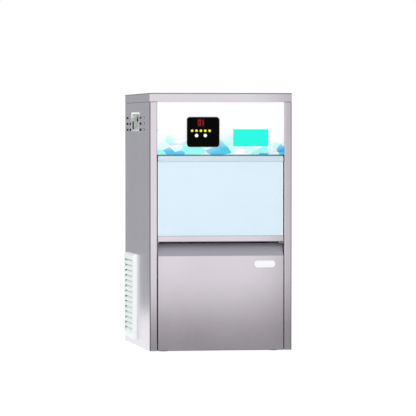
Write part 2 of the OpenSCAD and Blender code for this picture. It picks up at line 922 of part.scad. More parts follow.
module right_grille() {
  color(white_plastic)
    mirror([1, 0, 0])
      side_grille();
}

function handle_z() = vent_z + slot_row / 3;

// Section of the cup in X and Z, from the face inwards, grown by a wall
function cup_section(grow) =
  let (h = handle_open / 2 + grow, d = handle_deep - plastic_wall + grow)
  [[0, -h], [d * 0.45, -h], [d, -h * 0.2], [d, h], [0, h]];

module carry_handle() {
  x0 = -half_w;
  proud = plastic_wall * 0.75;
  outer_len = handle_len + 2 * plastic_wall;
  difference() {
    union() {
      facing_side(x0 - proud, proud)
        translate([vent_y, handle_z()])
          polygon(round_rect(handle_len + 2 * handle_rim, handle_open + 2 * handle_rim, handle_rim));
      translate([x0 - fit, vent_y + outer_len / 2, handle_z()])
        rotate([90, 0, 0])
          linear_extrude(outer_len)
            polygon(cup_section(plastic_wall));
    }
    translate([x0 - proud - eps, vent_y + handle_len / 2, handle_z()])
      rotate([90, 0, 0])
        linear_extrude(handle_len)
          polygon([for (p = cup_section(0)) p[0] > 0 ? p + [proud + eps, 0] : p]);
  }
}

module left_carry_handle() {
  color(white_plastic)
    carry_handle();
}

module right_carry_handle() {
  color(white_plastic)
    mirror([1, 0, 0])
      carry_handle();
}

// Door

module door_panel() {
  z0 = z_door0 + handle_h - rail_grip;
  z1 = z_door1 - rail_h + rail_grip;
  color(clear_blue)
    box([-panel_w, panel_y, z0], [panel_w, panel_y + door_t, z1]);
}

module door_top_rail() {
  y0 = yf + door_inset;
  slot_z = z_door1 - rail_h;
  pin_end = panel_w + panel_gap + bush_len;
  color(clear_blue)
    difference() {
      union() {
        translate([0, hinge_y, hinge_z])
          along_x(-panel_w, panel_w, rail_d);
        box([-panel_w, y0, slot_z], [panel_w, y0 + rail_d, hinge_z]);
        translate([0, hinge_y, hinge_z])
          along_x(-pin_end, pin_end, pin_d);
      }
      box(
        [-panel_w - eps, panel_y, slot_z - eps],
        [panel_w + eps, panel_y + door_t, slot_z + rail_grip]);
    }
}

module door_handle_rail() {
  y0 = yf + door_inset;
  y1 = y0 + rail_d;
  z1 = z_door0 + handle_h;
  chamfer = 1.2;
  lip = 3;
  color(steel)
    facing_side(-panel_w, 2 * panel_w)
      polygon([
        [y0 + chamfer, z_door0],
        [y1 - lip, z_door0],
        [y1, z_door0 + lip],
        [y1, z1],
        [panel_y + door_t, z1],
        [panel_y + door_t, z1 - rail_grip],
        [panel_y, z1 - rail_grip],
        [panel_y, z1],
        [y0 + chamfer, z1],
        [y0, z1 - chamfer],
        [y0, z_door0 + chamfer]
      ]);
}

module hinge_block() {
  block_t = panel_gap - block_clear;
  block_h = rail_h + 1;
  bore = pin_d + 2 * pin_clear;
  x0 = -opening_w;
  difference() {
    union() {
      box(
        [x0, yf + door_inset, hinge_z + rail_d / 2 - block_h],
        [x0 + block_t, yf + door_inset + rail_d, hinge_z + rail_d / 2]);
      translate([0, hinge_y, hinge_z])
        along_x(x0 - bush_len, x0 + block_t, bush_d);
    }
    translate([0, hinge_y, hinge_z])
      along_x(x0 - bush_len - eps, x0 + panel_gap, bore);
  }
}

module hinge_blocks() {
  color(black_plastic) {
    hinge_block();
    mirror([1, 0, 0])
      hinge_block();
  }
}

module door_stops() {
  y0 = yf + door_inset + rail_d + pin_clear;
  color(dark_grey)
    for (x = [-opening_w, opening_w - stop_size])
      box([x, y0, z_door0 + handle_h], [x + stop_size, y0 + stop_size, z_door1 - rail_h - stop_size]);
}

// Ice bin

module chute_profile(grow) {
  polygon([
    [chute_y2 + grow, z_head1 - grow],
    [chute_y2 + grow, chute_z1 + grow],
    [chute_y0, chute_z1 + grow],
    [chute_y0, z_head1 - chute_drop - grow],
    [chute_y1, z_head1 - grow]
  ]);
}

module chute_block(grow) {
  facing_side(col_x - chute_w / 2 - grow, chute_w + 2 * grow)
    chute_profile(grow);
}

module bin_liner() {
  y0 = yf + front_frame;
  y1 = yf + bin_rear;
  flange_w = inner_w - 2 * sheet - rear_flange / 2;
  rim = z_rim - sheet - fit;
  color(white_plastic)
    difference() {
      union() {
        box([-liner_w, y0, z_bin0], [liner_w, y1, z_bin1]);
        box([-flange_w, y0, z_bin0], [flange_w, y0 + liner_t, z_bin1]);
      }
      box(
        [-liner_w + liner_t, y0 + liner_t, z_bin0 + liner_t],
        [liner_w - liner_t, y1 - liner_t, z_bin1 - liner_t]);
      box([-mouth_w, y0 - eps, rim], [mouth_w, y0 + liner_t + eps, z_door1 - rail_h]);
      chute_block(fit);
      translate([drain_x, drain_y, z_bin0 - eps])
        cylinder(d = drain_d + 2 * fit, h = liner_t + 2 * eps);
    }
}

module bin_insulation() {
  y0 = yf + front_frame + liner_t;
  x1 = inner_w - fit;
  color(foam_yellow)
    difference() {
      box([-x1, y0, z_shelf + sheet], [x1, yf + foam_rear, z_roof]);
      box([-liner_w, y0 - eps, z_bin0], [liner_w, yf + bin_rear, z_bin1]);
      chute_block(fit);
      translate([drain_x, drain_y, z_shelf])
        cylinder(d = drain_d + 2 * fit, h = floor_foam + 2 * sheet);
    }
}

module bin_shelf() {
  x1 = inner_w - fit;
  y0 = yf + front_frame + liner_t;
  z1 = z_shelf + sheet;
  path = [[-x1, z1 - shelf_edge], [-x1, z1], [x1, z1], [x1, z1 - shelf_edge]];
  color(steel)
    difference() {
      facing_front(y0, foam_rear - front_frame - liner_t)
        polygon(fold_outline(path, sheet));
      translate([drain_x, drain_y, z_shelf - eps])
        cylinder(d = drain_d + 2 * fit, h = sheet + 2 * eps);
    }
}

module bin_drain() {
  flange_h = 2;
  z0 = z_bin0 + liner_t;
  color(white_plastic)
    translate([drain_x, drain_y, 0])
      difference() {
        union() {
          translate([0, 0, z0])
            cylinder(d1 = drain_flange, d2 = drain_flange - flange_h, h = flange_h);
          translate([0, 0, drain_z])
            cylinder(d = drain_d, h = z0 - drain_z + eps);
        }
        translate([0, 0, drain_z - eps])
          cylinder(d = water_bore, h = z0 - drain_z + flange_h + 2 * eps);
      }
}

module ice_probe() {
  z1 = z_bin1 - liner_t;
  color(steel)
    translate([-liner_w / 3, yf + bin_rear - back_foam * 2, 0])
      union() {
        translate([0, 0, z1 - probe_len])
          cylinder(d = probe_d, h = probe_len);
        translate([0, 0, z1 - probe_d / 2])
          cylinder(d = 2.4 * probe_d, h = probe_d / 2);
      }
}

// Controls

module keypad_hole(x, z, d) {
  translate([x, 0, z])
    along_y(key_y - eps, key_y + keypad_t + eps, d);
}

function lamp_x(i) = keypad_x + (i - (lamp_count - 1) / 2) * lamp_pitch - button_d * 0.68;
function button_x(side) = lamp_x((lamp_count - 1) / 2) + side * button_pitch / 2;

module keypad_plate() {
  color(black_plastic)
    difference() {
      facing_front(key_y, keypad_t)
        translate([keypad_x, key_z])
          polygon(round_rect(keypad_w, keypad_h, keypad_r));
      for (i = [0:lamp_count - 1])
        keypad_hole(lamp_x(i), lamp_z, lamp_d + 2 * fit);
      for (side = [-1, 1])
        keypad_hole(button_x(side), button_z, button_d + button_clear);
      facing_front(key_y - eps, keypad_t + 2 * eps)
        translate([button_x(0), display_z])
          square([display_w + 2 * fit, display_h + 2 * fit], center = true);
    }
}

module display_module() {
  recess = 0.3;
  color([0.12, 0.02, 0.02])
    facing_front(key_y + recess, keypad_t + board_gap - recess)
      translate([button_x(0), display_z])
        square([display_w, display_h], center = true);
}

module indicator_lamps() {
  color([0.95, 0.85, 0.1])
    for (i = [0:lamp_count - 1])
      translate([lamp_x(i), 0, lamp_z])
        along_y(key_y - lamp_proud, board_y, lamp_d);
}

module button(side) {
  y_back = key_y + keypad_t + button_slack;
  crown = 0.4;
  translate([button_x(side), 0, button_z])
    rotate([90, 0, 0])
      translate([0, 0, -y_back])
        rotate_extrude()
          polygon([
            [0, -button_flange_t],
            [button_d / 2 + 1, -button_flange_t],
            [button_d / 2 + 1, 0],
            [button_d / 2, 0],
            [button_d / 2, y_back - key_y + button_proud - crown],
            [button_d / 2 - crown, y_back - key_y + button_proud],
            [0, y_back - key_y + button_proud]
          ]);
}

module left_button() {
  color(white_plastic)
    button(-1);
}

module right_button() {
  color(white_plastic)
    button(1);
}

module control_board() {
  board_w = keypad_w - 2 * keypad_border - 2 * board_margin;
  board_h = keypad_h - 2 * keypad_border - 2 * board_margin;
  post_d = board_w / 16;
  relay = [board_w * 0.22, 2 * board_gap, board_h * 0.16];
  color([0.1, 0.4, 0.2]) union() {
    facing_front(board_y, board_t)
      translate([keypad_x, key_z])
        square([board_w, board_h], center = true);
    for (sx = [-1, 1], sz = [-1, 1])
      translate([keypad_x + sx * (board_w - post_d) / 2, 0, key_z + sz * (board_h - post_d) / 2])
        along_y(key_y + keypad_t, board_y + board_t, post_d);
    for (i = [-1:1])
      translate([keypad_x + i * 1.3 * relay[0] - relay[0] / 2, board_y + board_t / 2, key_z - relay[2]])
        cube([relay[0], relay[1], relay[2]]);
  }
}

module control_box() {
  x1 = inner_w - control_box_gap;
  y0 = yf + front_frame;
  y1 = y0 + control_box_d;
  z1 = z_top - 3 * sheet;
  w = plastic_wall;
  color(white_plastic)
    difference() {
      box([-x1, y0, z_roof], [x1, y1, z1]);
      box([-x1 + w, y0 - eps, z_roof + w], [x1 - w, y1 - w, z1 - w]);
    }
}

// Freezer column

module ice_chute() {
  t = chute_t;
  color(steel)
    difference() {
      chute_block(0);
      facing_side(col_x - chute_w / 2 + t, chute_w - 2 * t)
        chute_inside(t);
      translate([col_x, col_y, z_head1 - eps])
        cylinder(d = barrel_bore + chute_back_gap, h = t + 2 * eps);
    }
}

module chute_inside(t) {
  polygon([
    [chute_y2 - t, z_head1 + t],
    [chute_y2 - t, chute_z1 - t],
    [chute_y0 - eps, chute_z1 - t],
    [chute_y0 - eps, z_head1 - chute_drop + t],
    [chute_y0, z_head1 - chute_drop + t],
    [chute_y1, z_head1 + t]
  ]);
}

module column() {
  translate([col_x, col_y, 0])
    children();
}

module freezer_barrel() {
  stub = tube_d + 2;
  color(steel)
    column()
      difference() {
        union() {
          translate([0, 0, z_barrel0])
            cylinder(d = barrel_d, h = barrel_len);
          translate([0, 0, z_barrel0])
            cylinder(d = flange_d, h = flange_t);
          translate([0, 0, z_barrel1 - flange_t])
            cylinder(d = flange_d, h = flange_t);
          translate([0, 0, port_z0])
            along_x(-barrel_d / 2 - port_len, 0, hose_d);
          translate([0, 0, port_z0])
            along_y(-barrel_d / 2 - port_len, 0, stub);
          translate([0, 0, port_z1])
            along_x(0, barrel_d / 2 + port_len, stub);
        }
        translate([0, 0, z_barrel0 - eps])
          cylinder(d = barrel_bore, h = barrel_len + 2 * eps);
      }
}

module freezer_sleeve() {
  color(foam_yellow)
    column()
      translate([0, 0, z_barrel0 + stub_zone])
        difference() {
          cylinder(d = sleeve_d, h = barrel_len - 2 * stub_zone);
          translate([0, 0, -eps])
            cylinder(d = barrel_d, h = barrel_len);
        }
}

// Helical flight, a section of four points carried up round the core
module auger_flight(z0, length) {
  r0 = auger_core / 2 - 1;
  r1 = auger_d / 2;
  rise = length - flight_t;
  last = ceil(24 * rise / auger_pitch);
  section = [[r0, 0], [r0, flight_t], [r1, flight_t], [r1, 0]];
  points = [
    for (i = [0:last], p = section)
      let (a = 360 * rise / auger_pitch * i / last)
      [p[0] * cos(a), p[0] * sin(a), z0 + p[1] + rise * i / last]
  ];
  skin(points, len(section), last);
}

module auger() {
  flight_z0 = z_barrel0 + flange_t;
  end_gap = 1;
  flight_len = barrel_len - flange_t - 3 * end_gap;
  shaft_z0 = z_gear1 - socket_depth + end_gap;
  shaft_z1 = z_head1 + chute_h / 4;
  color(steel)
    column()
      union() {
        translate([0, 0, shaft_z0])
          cylinder(d = shaft_d, h = shaft_z1 - shaft_z0);
        translate([0, 0, flight_z0])
          cylinder(d = auger_core, h = flight_len);
        auger_flight(flight_z0 + end_gap, flight_len - 2 * end_gap);
      }
}

module ice_deflector() {
  z0 = z_head1 + 1;
  h = chute_h / 3;
  color(white_plastic)
    column()
      difference() {
        translate([0, 0, z0])
          cylinder(d1 = 2.1 * shaft_d, d2 = 1.4 * shaft_d, h = h);
        translate([0, 0, z0 - eps])
          cylinder(d = shaft_d + shaft_clear, h = chute_h / 4 + fit);
      }
}

module ice_head() {
  pitch_r = (shaft_d / 2 + barrel_bore / 2) / 2 + 2;
  color(steel)
    column()
      difference() {
        translate([0, 0, z_barrel1])
          cylinder(d = barrel_d, h = head_h);
        translate([0, 0, z_barrel1 - eps])
          cylinder(d = shaft_d + shaft_clear, h = head_h + 2 * eps);
        for (i = [0:passage_count - 1])
          rotate(360 * i / passage_count)
            translate([pitch_r, 0, z_barrel1 - eps])
              cylinder(d = passage_d, h = head_h + 2 * eps);
      }
}

module bearing_housing() {
  color(dark_grey)
    column()
      difference() {
        union() {
          translate([0, 0, z_gear1])
            cylinder(d = barrel_d - 2 * neck_step, h = bearing_h);
          translate([0, 0, z_gear1])
            cylinder(d = flange_d, h = flange_t);
          translate([0, 0, z_barrel0 - flange_t])
            cylinder(d = flange_d, h = flange_t);
        }
        translate([0, 0, z_gear1 - eps])
          cylinder(d = bearing_d - 2 * bearing_lip, h = bearing_h + 2 * eps);
        translate([0, 0, z_barrel0 - bearing_w])
          cylinder(d = bearing_d, h = bearing_w + eps);
      }
}

module lower_bearing() {
  color(steel)
    column()
      translate([0, 0, z_barrel0 - bearing_w])
        difference() {
          cylinder(d = bearing_d, h = bearing_w);
          translate([0, 0, -eps])
            cylinder(d = shaft_d + shaft_clear, h = bearing_w + 2 * eps);
        }
}

module gearbox() {
  boss_d = 22;
  flute_d = 14;
  color(dark_grey)
    column()
      difference() {
        union() {
          translate([0, 0, z_gear0])
            cylinder(d = gearbox_d, h = gearbox_h);
          for (i = [0:3])
            rotate(45 + 90 * i)
              translate([gearbox_d / 2 - boss_d / 10, 0, z_gear0])
                cylinder(d = boss_d, h = gearbox_h * 0.3);
        }
        translate([0, 0, z_gear1 - socket_depth])
          cylinder(d = shaft_d + shaft_clear, h = socket_depth + eps);
        for (i = [0:11])
          rotate(30 * i + 15)
            translate([(gearbox_d + flute_d / 2) / 2, 0, z_gear0 + gearbox_h * 0.4])
              cylinder(d = flute_d, h = gearbox_h * 0.45);
      }
}

module drive_motor() {
  rib = 2;
  color([0.15, 0.2, 0.3])
    column()
      union() {
        translate([0, 0, z_gear0 - motor_h])
          cylinder(d = motor_d - 2 * rib, h = motor_h);
        for (i = [0:5])
          translate([0, 0, z_gear0 - stand_t - motor_h * (0.2 + 0.12 * i)])
            cylinder(d = motor_d, h = rib);
      }
}

module gearbox_stand() {
  x0 = col_x - stand_w / 2;
  x1 = col_x + stand_w / 2;
  path = [[x0, z_floor], [x0, z_gear0], [x1, z_gear0], [x1, z_floor]];
  color(steel)
    difference() {
      facing_front(col_y - stand_len / 2, stand_len)
        polygon(fold_outline(path, stand_t));
      translate([col_x, col_y, z_gear0 - stand_t - eps])
        cylinder(d = motor_d + 3, h = stand_t + 2 * eps);
    }
}

// Water

module water_tank() {
  x1 = tank_x0 + tank_w;
  t = tank_t;
  color(white_plastic)
    difference() {
      union() {
        box([tank_x0, tank_y0, tank_z0], [x1, y_inside, tank_z1]);
        translate([x1 - hose_d * 1.5, tank_y0 + tank_d / 2, tank_z0 - port_len])
          cylinder(d = hose_d, h = port_len + t);
      }
      box([tank_x0 + t, tank_y0 + t, tank_z0 + t], [x1 - t, y_inside - t, tank_z1 + eps]);
      translate([tank_x, 0, inlet_z])
        along_y(y_inside - t - eps, y_inside + eps, shank_d + 2 * fit);
    }
}

module tank_lid() {
  x1 = tank_x0 + tank_w;
  inset = tank_t + fit;
  color(white_plastic) union() {
    box([tank_x0, tank_y0, tank_z1], [x1, y_inside, tank_z1 + lid_t]);
    box(
      [tank_x0 + inset, tank_y0 + inset, tank_z1 - lid_t],
      [x1 - inset, y_inside - inset, tank_z1 + lid_t]);
  }
}

module water_inlet() {
  jaw_t = 3;
  jaw_gap = 6;
  jaw_len = 8;
  color(brass)
    translate([tank_x, 0, inlet_z])
      difference() {
        union() {
          along_y(pivot_y + jaw_len, yr + eps, shank_d);
          along_y(yr, yr + shoulder_t, shoulder_d);
          along_y(yr, yr + rear_reach, inlet_d);
          for (side = [-1, 1])
            translate([side * (jaw_gap + jaw_t) / 2 - jaw_t / 2, pivot_y - jaw_len / 2, -float_pin])
              cube([jaw_t, 1.5 * jaw_len + eps, 2 * float_pin]);
        }
        translate([0, pivot_y, 0])
          along_x(-shank_d, shank_d, float_pin + 2 * fit);
        along_y(pivot_y + 1.5 * jaw_len, yr + rear_reach + eps, water_bore);
      }
}

module float_lever() {
  arm_w = 5;
  arm_h = 4;
  pin_len = 13;
  color(white_plastic)
    translate([tank_x, 0, 0])
      union() {
        translate([0, pivot_y, inlet_z])
          along_x(-pin_len / 2, pin_len / 2, float_pin);
        box([-arm_w / 2, float_y, inlet_z - arm_h / 2], [arm_w / 2, pivot_y + arm_h / 2, inlet_z + arm_h / 2]);
        translate([0, float_y, float_z - float_h / 2])
          cylinder(d = float_d, h = float_h);
        translate([0, float_y, float_z])
          cylinder(d = arm_w, h = inlet_z - float_z + arm_h / 2);
      }
}

module feed_hose() {
  x0 = tank_x0 + tank_w - hose_d * 1.5;
  y0 = tank_y0 + tank_d / 2;
  color(white_plastic)
    pipe(
      [
        [x0, y0, tank_z0 - port_len],
        [x0, y0, port_z0],
        [x0, col_y, port_z0],
        [col_x - barrel_d / 2 - port_len, col_y, port_z0]
      ],
      hose_d, elbow_r);
}

module drain_hose() {
  color(white_plastic)
    pipe(
      [
        [drain_x, drain_y, drain_z],
        [drain_x, drain_y, outlet_z],
        [drain_x, y_inside - port_len, outlet_z]
      ],
      drain_d, 1.5 * drain_d);
}

module drain_outlet() {
  flange_h = 3;
  color(white_plastic)
    translate([drain_x, 0, outlet_z])
      difference() {
        union() {
          along_y(y_inside - port_len, yr + rear_reach, drain_d);
          along_y(yr, yr + flange_h, 1.7 * drain_d);
        }
        along_y(y_inside - port_len - eps, yr + rear_reach + eps, water_bore);
      }
}

// Cooling unit

module compressor_shell() {
  r = compressor_d / 2;
  h = compressor_h;
  dome = r * 0.55;
  heel = 20;
  w = weld_proud;
  profile = concat(
    [[0, 0]],
    [for (i = [0:corner_steps]) let (a = 90 * i / corner_steps) [r - heel + heel * sin(a), heel - heel * cos(a)]],
    [[r, h * 0.5], [r + w, h * 0.5], [r + w, h * 0.53], [r, h * 0.53]],
    [for (i = [0:corner_steps])
      let (a = 90 * i / corner_steps) [r - dome + dome * cos(a), h - dome + dome * sin(a)]],
    [[0, h]]);
  rotate_extrude()
    polygon(profile);
}

module compressor() {
  color(black_plastic) union() {
    translate([comp_x, comp_y, comp_z])
      compressor_shell();
    translate([comp_x, comp_y, comp_z0])
      linear_extrude(foot_plate_t + 1)
        polygon(round_rect(foot_plate_w, foot_plate_d, mount_d / 2));
    for (p = [[-port_x, discharge_z], [port_x, suction_z]])
      translate([comp_x + p[0], 0, p[1]])
        along_y(comp_y, port_y, tube_d + 2);
  }
}

module compressor_mounts() {
  color(dark_grey)
    for (sx = [-1, 1], sy = [-1, 1])
      translate([
        comp_x + sx * (foot_plate_w - mount_d) / 2,
        comp_y + sy * (foot_plate_d - mount_d) / 2,
        z_floor
      ])
        union() {
          cylinder(d = mount_d, h = mount_h * 0.4);
          cylinder(d = mount_d * 0.75, h = mount_h);
        }
}

module terminal_cover() {
  size = [compressor_d * 0.23, compressor_d * 0.37, compressor_h * 0.32];
  rise = compressor_h * 0.14;
  color(dark_grey)
    difference() {
      translate([comp_x - compressor_d / 2 - size[0] * 0.6, comp_y - size[1] / 2, comp_z + rise])
        cube(size);
      translate([comp_x, comp_y, comp_z])
        cylinder(d = compressor_d, h = compressor_h);
      translate([comp_x, comp_y, comp_z + compressor_h * 0.5 - eps])
        cylinder(d = compressor_d + 2 * weld_proud + 2 * fit, h = compressor_h);
    }
}

module condenser() {
  end_gap = 10;
  edge = 2;
  fin_foot = 8;
  fin_pitch = (condenser_len - 2 * end_gap) / (fin_count - 1);
  fin_z0 = z_floor + fin_foot;
  tube_pitch = (cond_z1 - fin_z0 - 2 * fin_foot) / tube_count;
  plate_t = 1.5;
  row_x = [cond_x0 + condenser_t * 0.27, cond_x0 + condenser_t * 0.73];
  color([0.7, 0.7, 0.72]) union() {
    for (i = [0:fin_count - 1])
      translate([cond_x0 + edge, cond_y0 + end_gap + i * fin_pitch - fin_t / 2, fin_z0])
        cube([condenser_t - 2 * edge, fin_t, cond_z1 - fin_z0 - edge]);
    for (y = [cond_y0 + plate_inset, cond_y1 - plate_inset - plate_t])
      box([cond_x0, y, z_floor], [cond_x1, y + plate_t, cond_z1]);
    for (x = row_x, i = [0:tube_count - 1])
      translate([x, 0, fin_z0 + fin_foot + (i + 0.5) * tube_pitch])
        along_y(cond_y0, cond_y1, tube_d);
    for (z = [stub_z0, stub_z1])
      translate([(cond_x0 + cond_x1) / 2, 0, z])
        along_y(cond_y0 - stub_len, cond_y0 + plate_inset + plate_t, tube_d + 2);
  }
}

module fan_place(x) {
  translate([x, fan_y, fan_z])
    children();
}

module fan_shroud() {
  color(steel)
    difference() {
      union() {
        box(
          [cond_x1, cond_y0 + plate_inset, z_floor],
          [shroud_x, cond_y1 - plate_inset, cond_z1]);
        fan_place(0)
          along_x(cond_x1, shroud_x + ring_d, 2 * ring_r + 2 * sheet);
      }
      fan_place(0)
        along_x(cond_x1 - eps, shroud_x + ring_d + eps, 2 * ring_r);
    }
}

module fan_bracket() {
  foot_gap = 3;
  reach = fan_z - z_floor - foot_gap;
  t = bracket_t;
  path = [
    [shroud_x, fan_z - reach],
    [bracket_x + t, fan_z - reach],
    [bracket_x + t, fan_z + reach],
    [shroud_x, fan_z + reach]
  ];
  color(steel)
    difference() {
      facing_front(fan_y - bracket_w / 2, bracket_w)
        polygon(fold_outline(reversed(path), t));
      fan_place(0)
        along_x(bracket_x - eps, bracket_x + t + eps, 2 * fan_shaft);
    }
}

module fan_motor() {
  x0 = fan_motor_x0;
  step = 8;
  color(dark_grey)
    fan_place(0)
      union() {
        along_x(x0, x0 + fan_motor_len - step, fan_motor_d);
        along_x(x0, x0 + fan_motor_len, fan_motor_d * 0.6);
        along_x(fan_x - step / 2, x0 + step, fan_shaft);
      }
}

module fan_blades() {
  hub_h = 18;
  cap = 4;
  color(dark_grey)
    fan_place(fan_x)
      difference() {
        union() {
          along_x(-hub_h / 2, hub_h / 2, hub_d);
          intersection() {
            along_x(-ring_d, ring_d, fan_d);
            for (i = [0:blade_count - 1])
              rotate([360 * i / blade_count, 0, 0])
                rotate([0, 0, blade_pitch])
                  translate([-blade_t / 2, -blade_chord / 2, hub_d / 2 - cap])
                    cube([blade_t, blade_chord, fan_d / 2]);
          }
        }
        along_x(-hub_h / 2 + cap, hub_h, fan_shaft + shaft_clear);
      }
}

module filter_dryer() {
  r = dryer_d / 2;
  neck = tube_d / 2 + 0.5;
  cone = 12;
  color(copper)
    translate([dryer_x, lane_y, dryer_z])
      rotate_extrude()
        polygon([
          [0, 0],
          [neck, 0],
          [neck, cone / 2],
          [r, cone * 1.5],
          [r, dryer_len - cone * 1.5],
          [neck, dryer_len - cone / 2],
          [neck, dryer_len],
          [0, dryer_len]
        ]);
}

module discharge_pipe() {
  x0 = comp_x - port_x;
  x1 = (cond_x0 + cond_x1) / 2;
  color(copper)
    pipe(
      [
        [x0, port_y, discharge_z],
        [x0, lane_y, discharge_z],
        [x0, lane_y, stub_z1],
        [x1, lane_y, stub_z1],
        [x1, cond_y0 - stub_len, stub_z1]
      ],
      tube_d, bend_tube);
}

module liquid_pipe() {
  x0 = (cond_x0 + cond_x1) / 2;
  low = dryer_z - 3 * tube_d;
  high = dryer_z + dryer_len + 3 * capillary_d;
  y_bay = yf + foam_rear + 2 * tube_d;
  color(copper) {
    pipe(
      [
        [x0, cond_y0 - stub_len, stub_z0],
        [x0, lane_y, stub_z0],
        [x0, lane_y, low],
        [dryer_x, lane_y, low],
        [dryer_x, lane_y, dryer_z]
      ],
      tube_d, bend_tube);
    pipe(
      [
        [dryer_x, lane_y, dryer_z + dryer_len],
        [dryer_x, lane_y, high],
        [dryer_x, y_bay, high],
        [dryer_x, y_bay, port_z0],
        [col_x, y_bay, port_z0],
        [col_x, col_y - barrel_d / 2 - port_len, port_z0]
      ],
      capillary_d, 1.4 * capillary_d);
  }
}

module suction_pipe() {
  x0 = col_x + barrel_d / 2 + port_len;
  color(copper)
    pipe(
      [
        [x0, col_y, port_z1],
        [suction_x, col_y, port_z1],
        [suction_x, col_y, suction_z],
        [suction_x, lane_y, suction_z],
        [comp_x + port_x, lane_y, suction_z],
        [comp_x + port_x, port_y, suction_z]
      ],
      tube_d, bend_tube);
}

module power_inlet() {
  flange_t = 3;
  recess = [socket_body[0] - 2 * socket_wall, socket_body[1] - 2 * socket_wall];
  recess_d = 14;
  blade = [2, 6, 10];
  color(black_plastic)
    translate([socket_x, 0, socket_z]) {
      difference() {
        union() {
          facing_front(yr, flange_t)
            polygon(round_rect(socket_w, socket_h, socket_round));
          facing_front(y_inside - socket_in, socket_in + sheet + eps)
            square(socket_body, center = true);
        }
        facing_front(yr - recess_d, recess_d + flange_t + eps)
          square(recess, center = true);
      }
      for (p = [[-6, -1], [0, 3], [6, -1]])
        translate([p[0] - blade[0] / 2, yr - recess_d - eps, p[1] - blade[1] / 2])
          cube([blade[0], blade[2], blade[1]]);
    }
}

base_pan();
rubber_feet();
left_side_panel();
right_side_panel();
rear_panel();
top_cover();
lower_front_panel();
control_fascia();
left_grille();
right_grille();
left_carry_handle();
right_carry_handle();
door_panel();
door_top_rail();
door_handle_rail();
hinge_blocks();
door_stops();
bin_liner();
bin_insulation();
bin_shelf();
bin_drain();
ice_probe();
keypad_plate();
display_module();
indicator_lamps();
left_button();
right_button();
control_board();
control_box();
ice_chute();
freezer_barrel();
freezer_sleeve();
auger();
ice_deflector();
ice_head();
bearing_housing();
lower_bearing();
gearbox();
drive_motor();
gearbox_stand();
water_tank();
tank_lid();
water_inlet();
float_lever();
feed_hose();
drain_hose();
drain_outlet();
compressor();
compressor_mounts();
terminal_cover();
condenser();
fan_shroud();
fan_bracket();
fan_motor();
fan_blades();
filter_dryer();
discharge_pipe();
liquid_pipe();
suction_pipe();
power_inlet();
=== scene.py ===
"""Looks of a flake ice machine: finishes, panel print, small fittings, studio and camera."""

import json
import math

import bmesh
import bpy
from mathutils import Matrix, Vector


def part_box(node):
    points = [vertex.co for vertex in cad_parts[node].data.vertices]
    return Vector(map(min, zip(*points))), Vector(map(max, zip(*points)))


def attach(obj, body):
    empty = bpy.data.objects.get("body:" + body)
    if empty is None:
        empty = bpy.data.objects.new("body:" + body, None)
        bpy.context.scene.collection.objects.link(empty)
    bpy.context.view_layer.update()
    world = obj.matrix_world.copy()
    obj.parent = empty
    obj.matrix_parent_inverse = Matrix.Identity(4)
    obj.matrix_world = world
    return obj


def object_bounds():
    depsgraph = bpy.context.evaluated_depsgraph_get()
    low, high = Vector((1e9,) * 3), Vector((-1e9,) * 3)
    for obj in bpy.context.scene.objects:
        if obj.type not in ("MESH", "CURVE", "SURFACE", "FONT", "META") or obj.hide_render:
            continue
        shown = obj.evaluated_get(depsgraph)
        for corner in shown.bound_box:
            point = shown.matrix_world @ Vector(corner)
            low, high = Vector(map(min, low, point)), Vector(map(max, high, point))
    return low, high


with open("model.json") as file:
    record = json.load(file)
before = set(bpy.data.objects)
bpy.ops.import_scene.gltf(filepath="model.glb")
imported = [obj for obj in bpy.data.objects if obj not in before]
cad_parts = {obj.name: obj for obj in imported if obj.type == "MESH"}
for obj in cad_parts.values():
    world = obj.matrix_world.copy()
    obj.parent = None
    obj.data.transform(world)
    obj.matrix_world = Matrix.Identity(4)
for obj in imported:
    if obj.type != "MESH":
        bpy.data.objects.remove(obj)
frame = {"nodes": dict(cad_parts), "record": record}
cad_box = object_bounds()
nodes = frame["nodes"]
scene = bpy.context.scene
MM = 0.001


# Colours and shader nodes


def srgb(red, green, blue):
    """A screen colour of 0 to 255 as a linear shader colour."""
    linear = []
    for value in (red, green, blue):
        share = value / 255
        linear.append(share / 12.92 if share <= 0.04045 else ((share + 0.055) / 1.055) ** 2.4)
    return (*linear, 1.0)


def toned(colour, factor):
    return tuple(min(1.0, channel * factor) for channel in colour[:3]) + (1.0,)


def add_node(tree, kind, inputs=None, **settings):
    """A shader node with its settings, and with its sockets set or linked."""
    node = tree.nodes.new(kind)
    for name, value in settings.items():
        setattr(node, name, value)
    for name, value in (inputs or {}).items():
        if isinstance(value, bpy.types.NodeSocket):
            tree.links.new(value, node.inputs[name])
        else:
            node.inputs[name].default_value = value
    return node


def new_material(name):
    material = bpy.data.materials.new(name)
    material.use_nodes = True
    return material, material.node_tree, material.node_tree.nodes["Principled BSDF"]


def object_noise(tree, scale, stretch=(1, 1, 1), detail=4.0):
    """Noise in the object's own metres, stretched along a grain."""
    place = add_node(tree, "ShaderNodeTexCoord")
    mapping = add_node(
        tree,
        "ShaderNodeMapping",
        {"Vector": place.outputs["Object"], "Scale": tuple(scale * s for s in stretch)},
    )
    noise = add_node(
        tree,
        "ShaderNodeTexNoise",
        {"Vector": mapping.outputs["Vector"], "Scale": 1.0, "Detail": detail},
    )
    return noise.outputs["Fac"]


def object_place(tree):
    """The object's own X, Y and Z in metres."""
    place = add_node(tree, "ShaderNodeTexCoord")
    return add_node(tree, "ShaderNodeSeparateXYZ", {"Vector": place.outputs["Object"]}).outputs


def remap(tree, value, low, high, start=0.3, end=0.7, ease="LINEAR"):
    """Spreads the values from start to end over low to high. The defaults suit a noise."""
    node = add_node(
        tree,
        "ShaderNodeMapRange",
        {"Value": value, "From Min": start, "From Max": end, "To Min": low, "To Max": high},
        interpolation_type=ease,
    )
    return node.outputs["Result"]


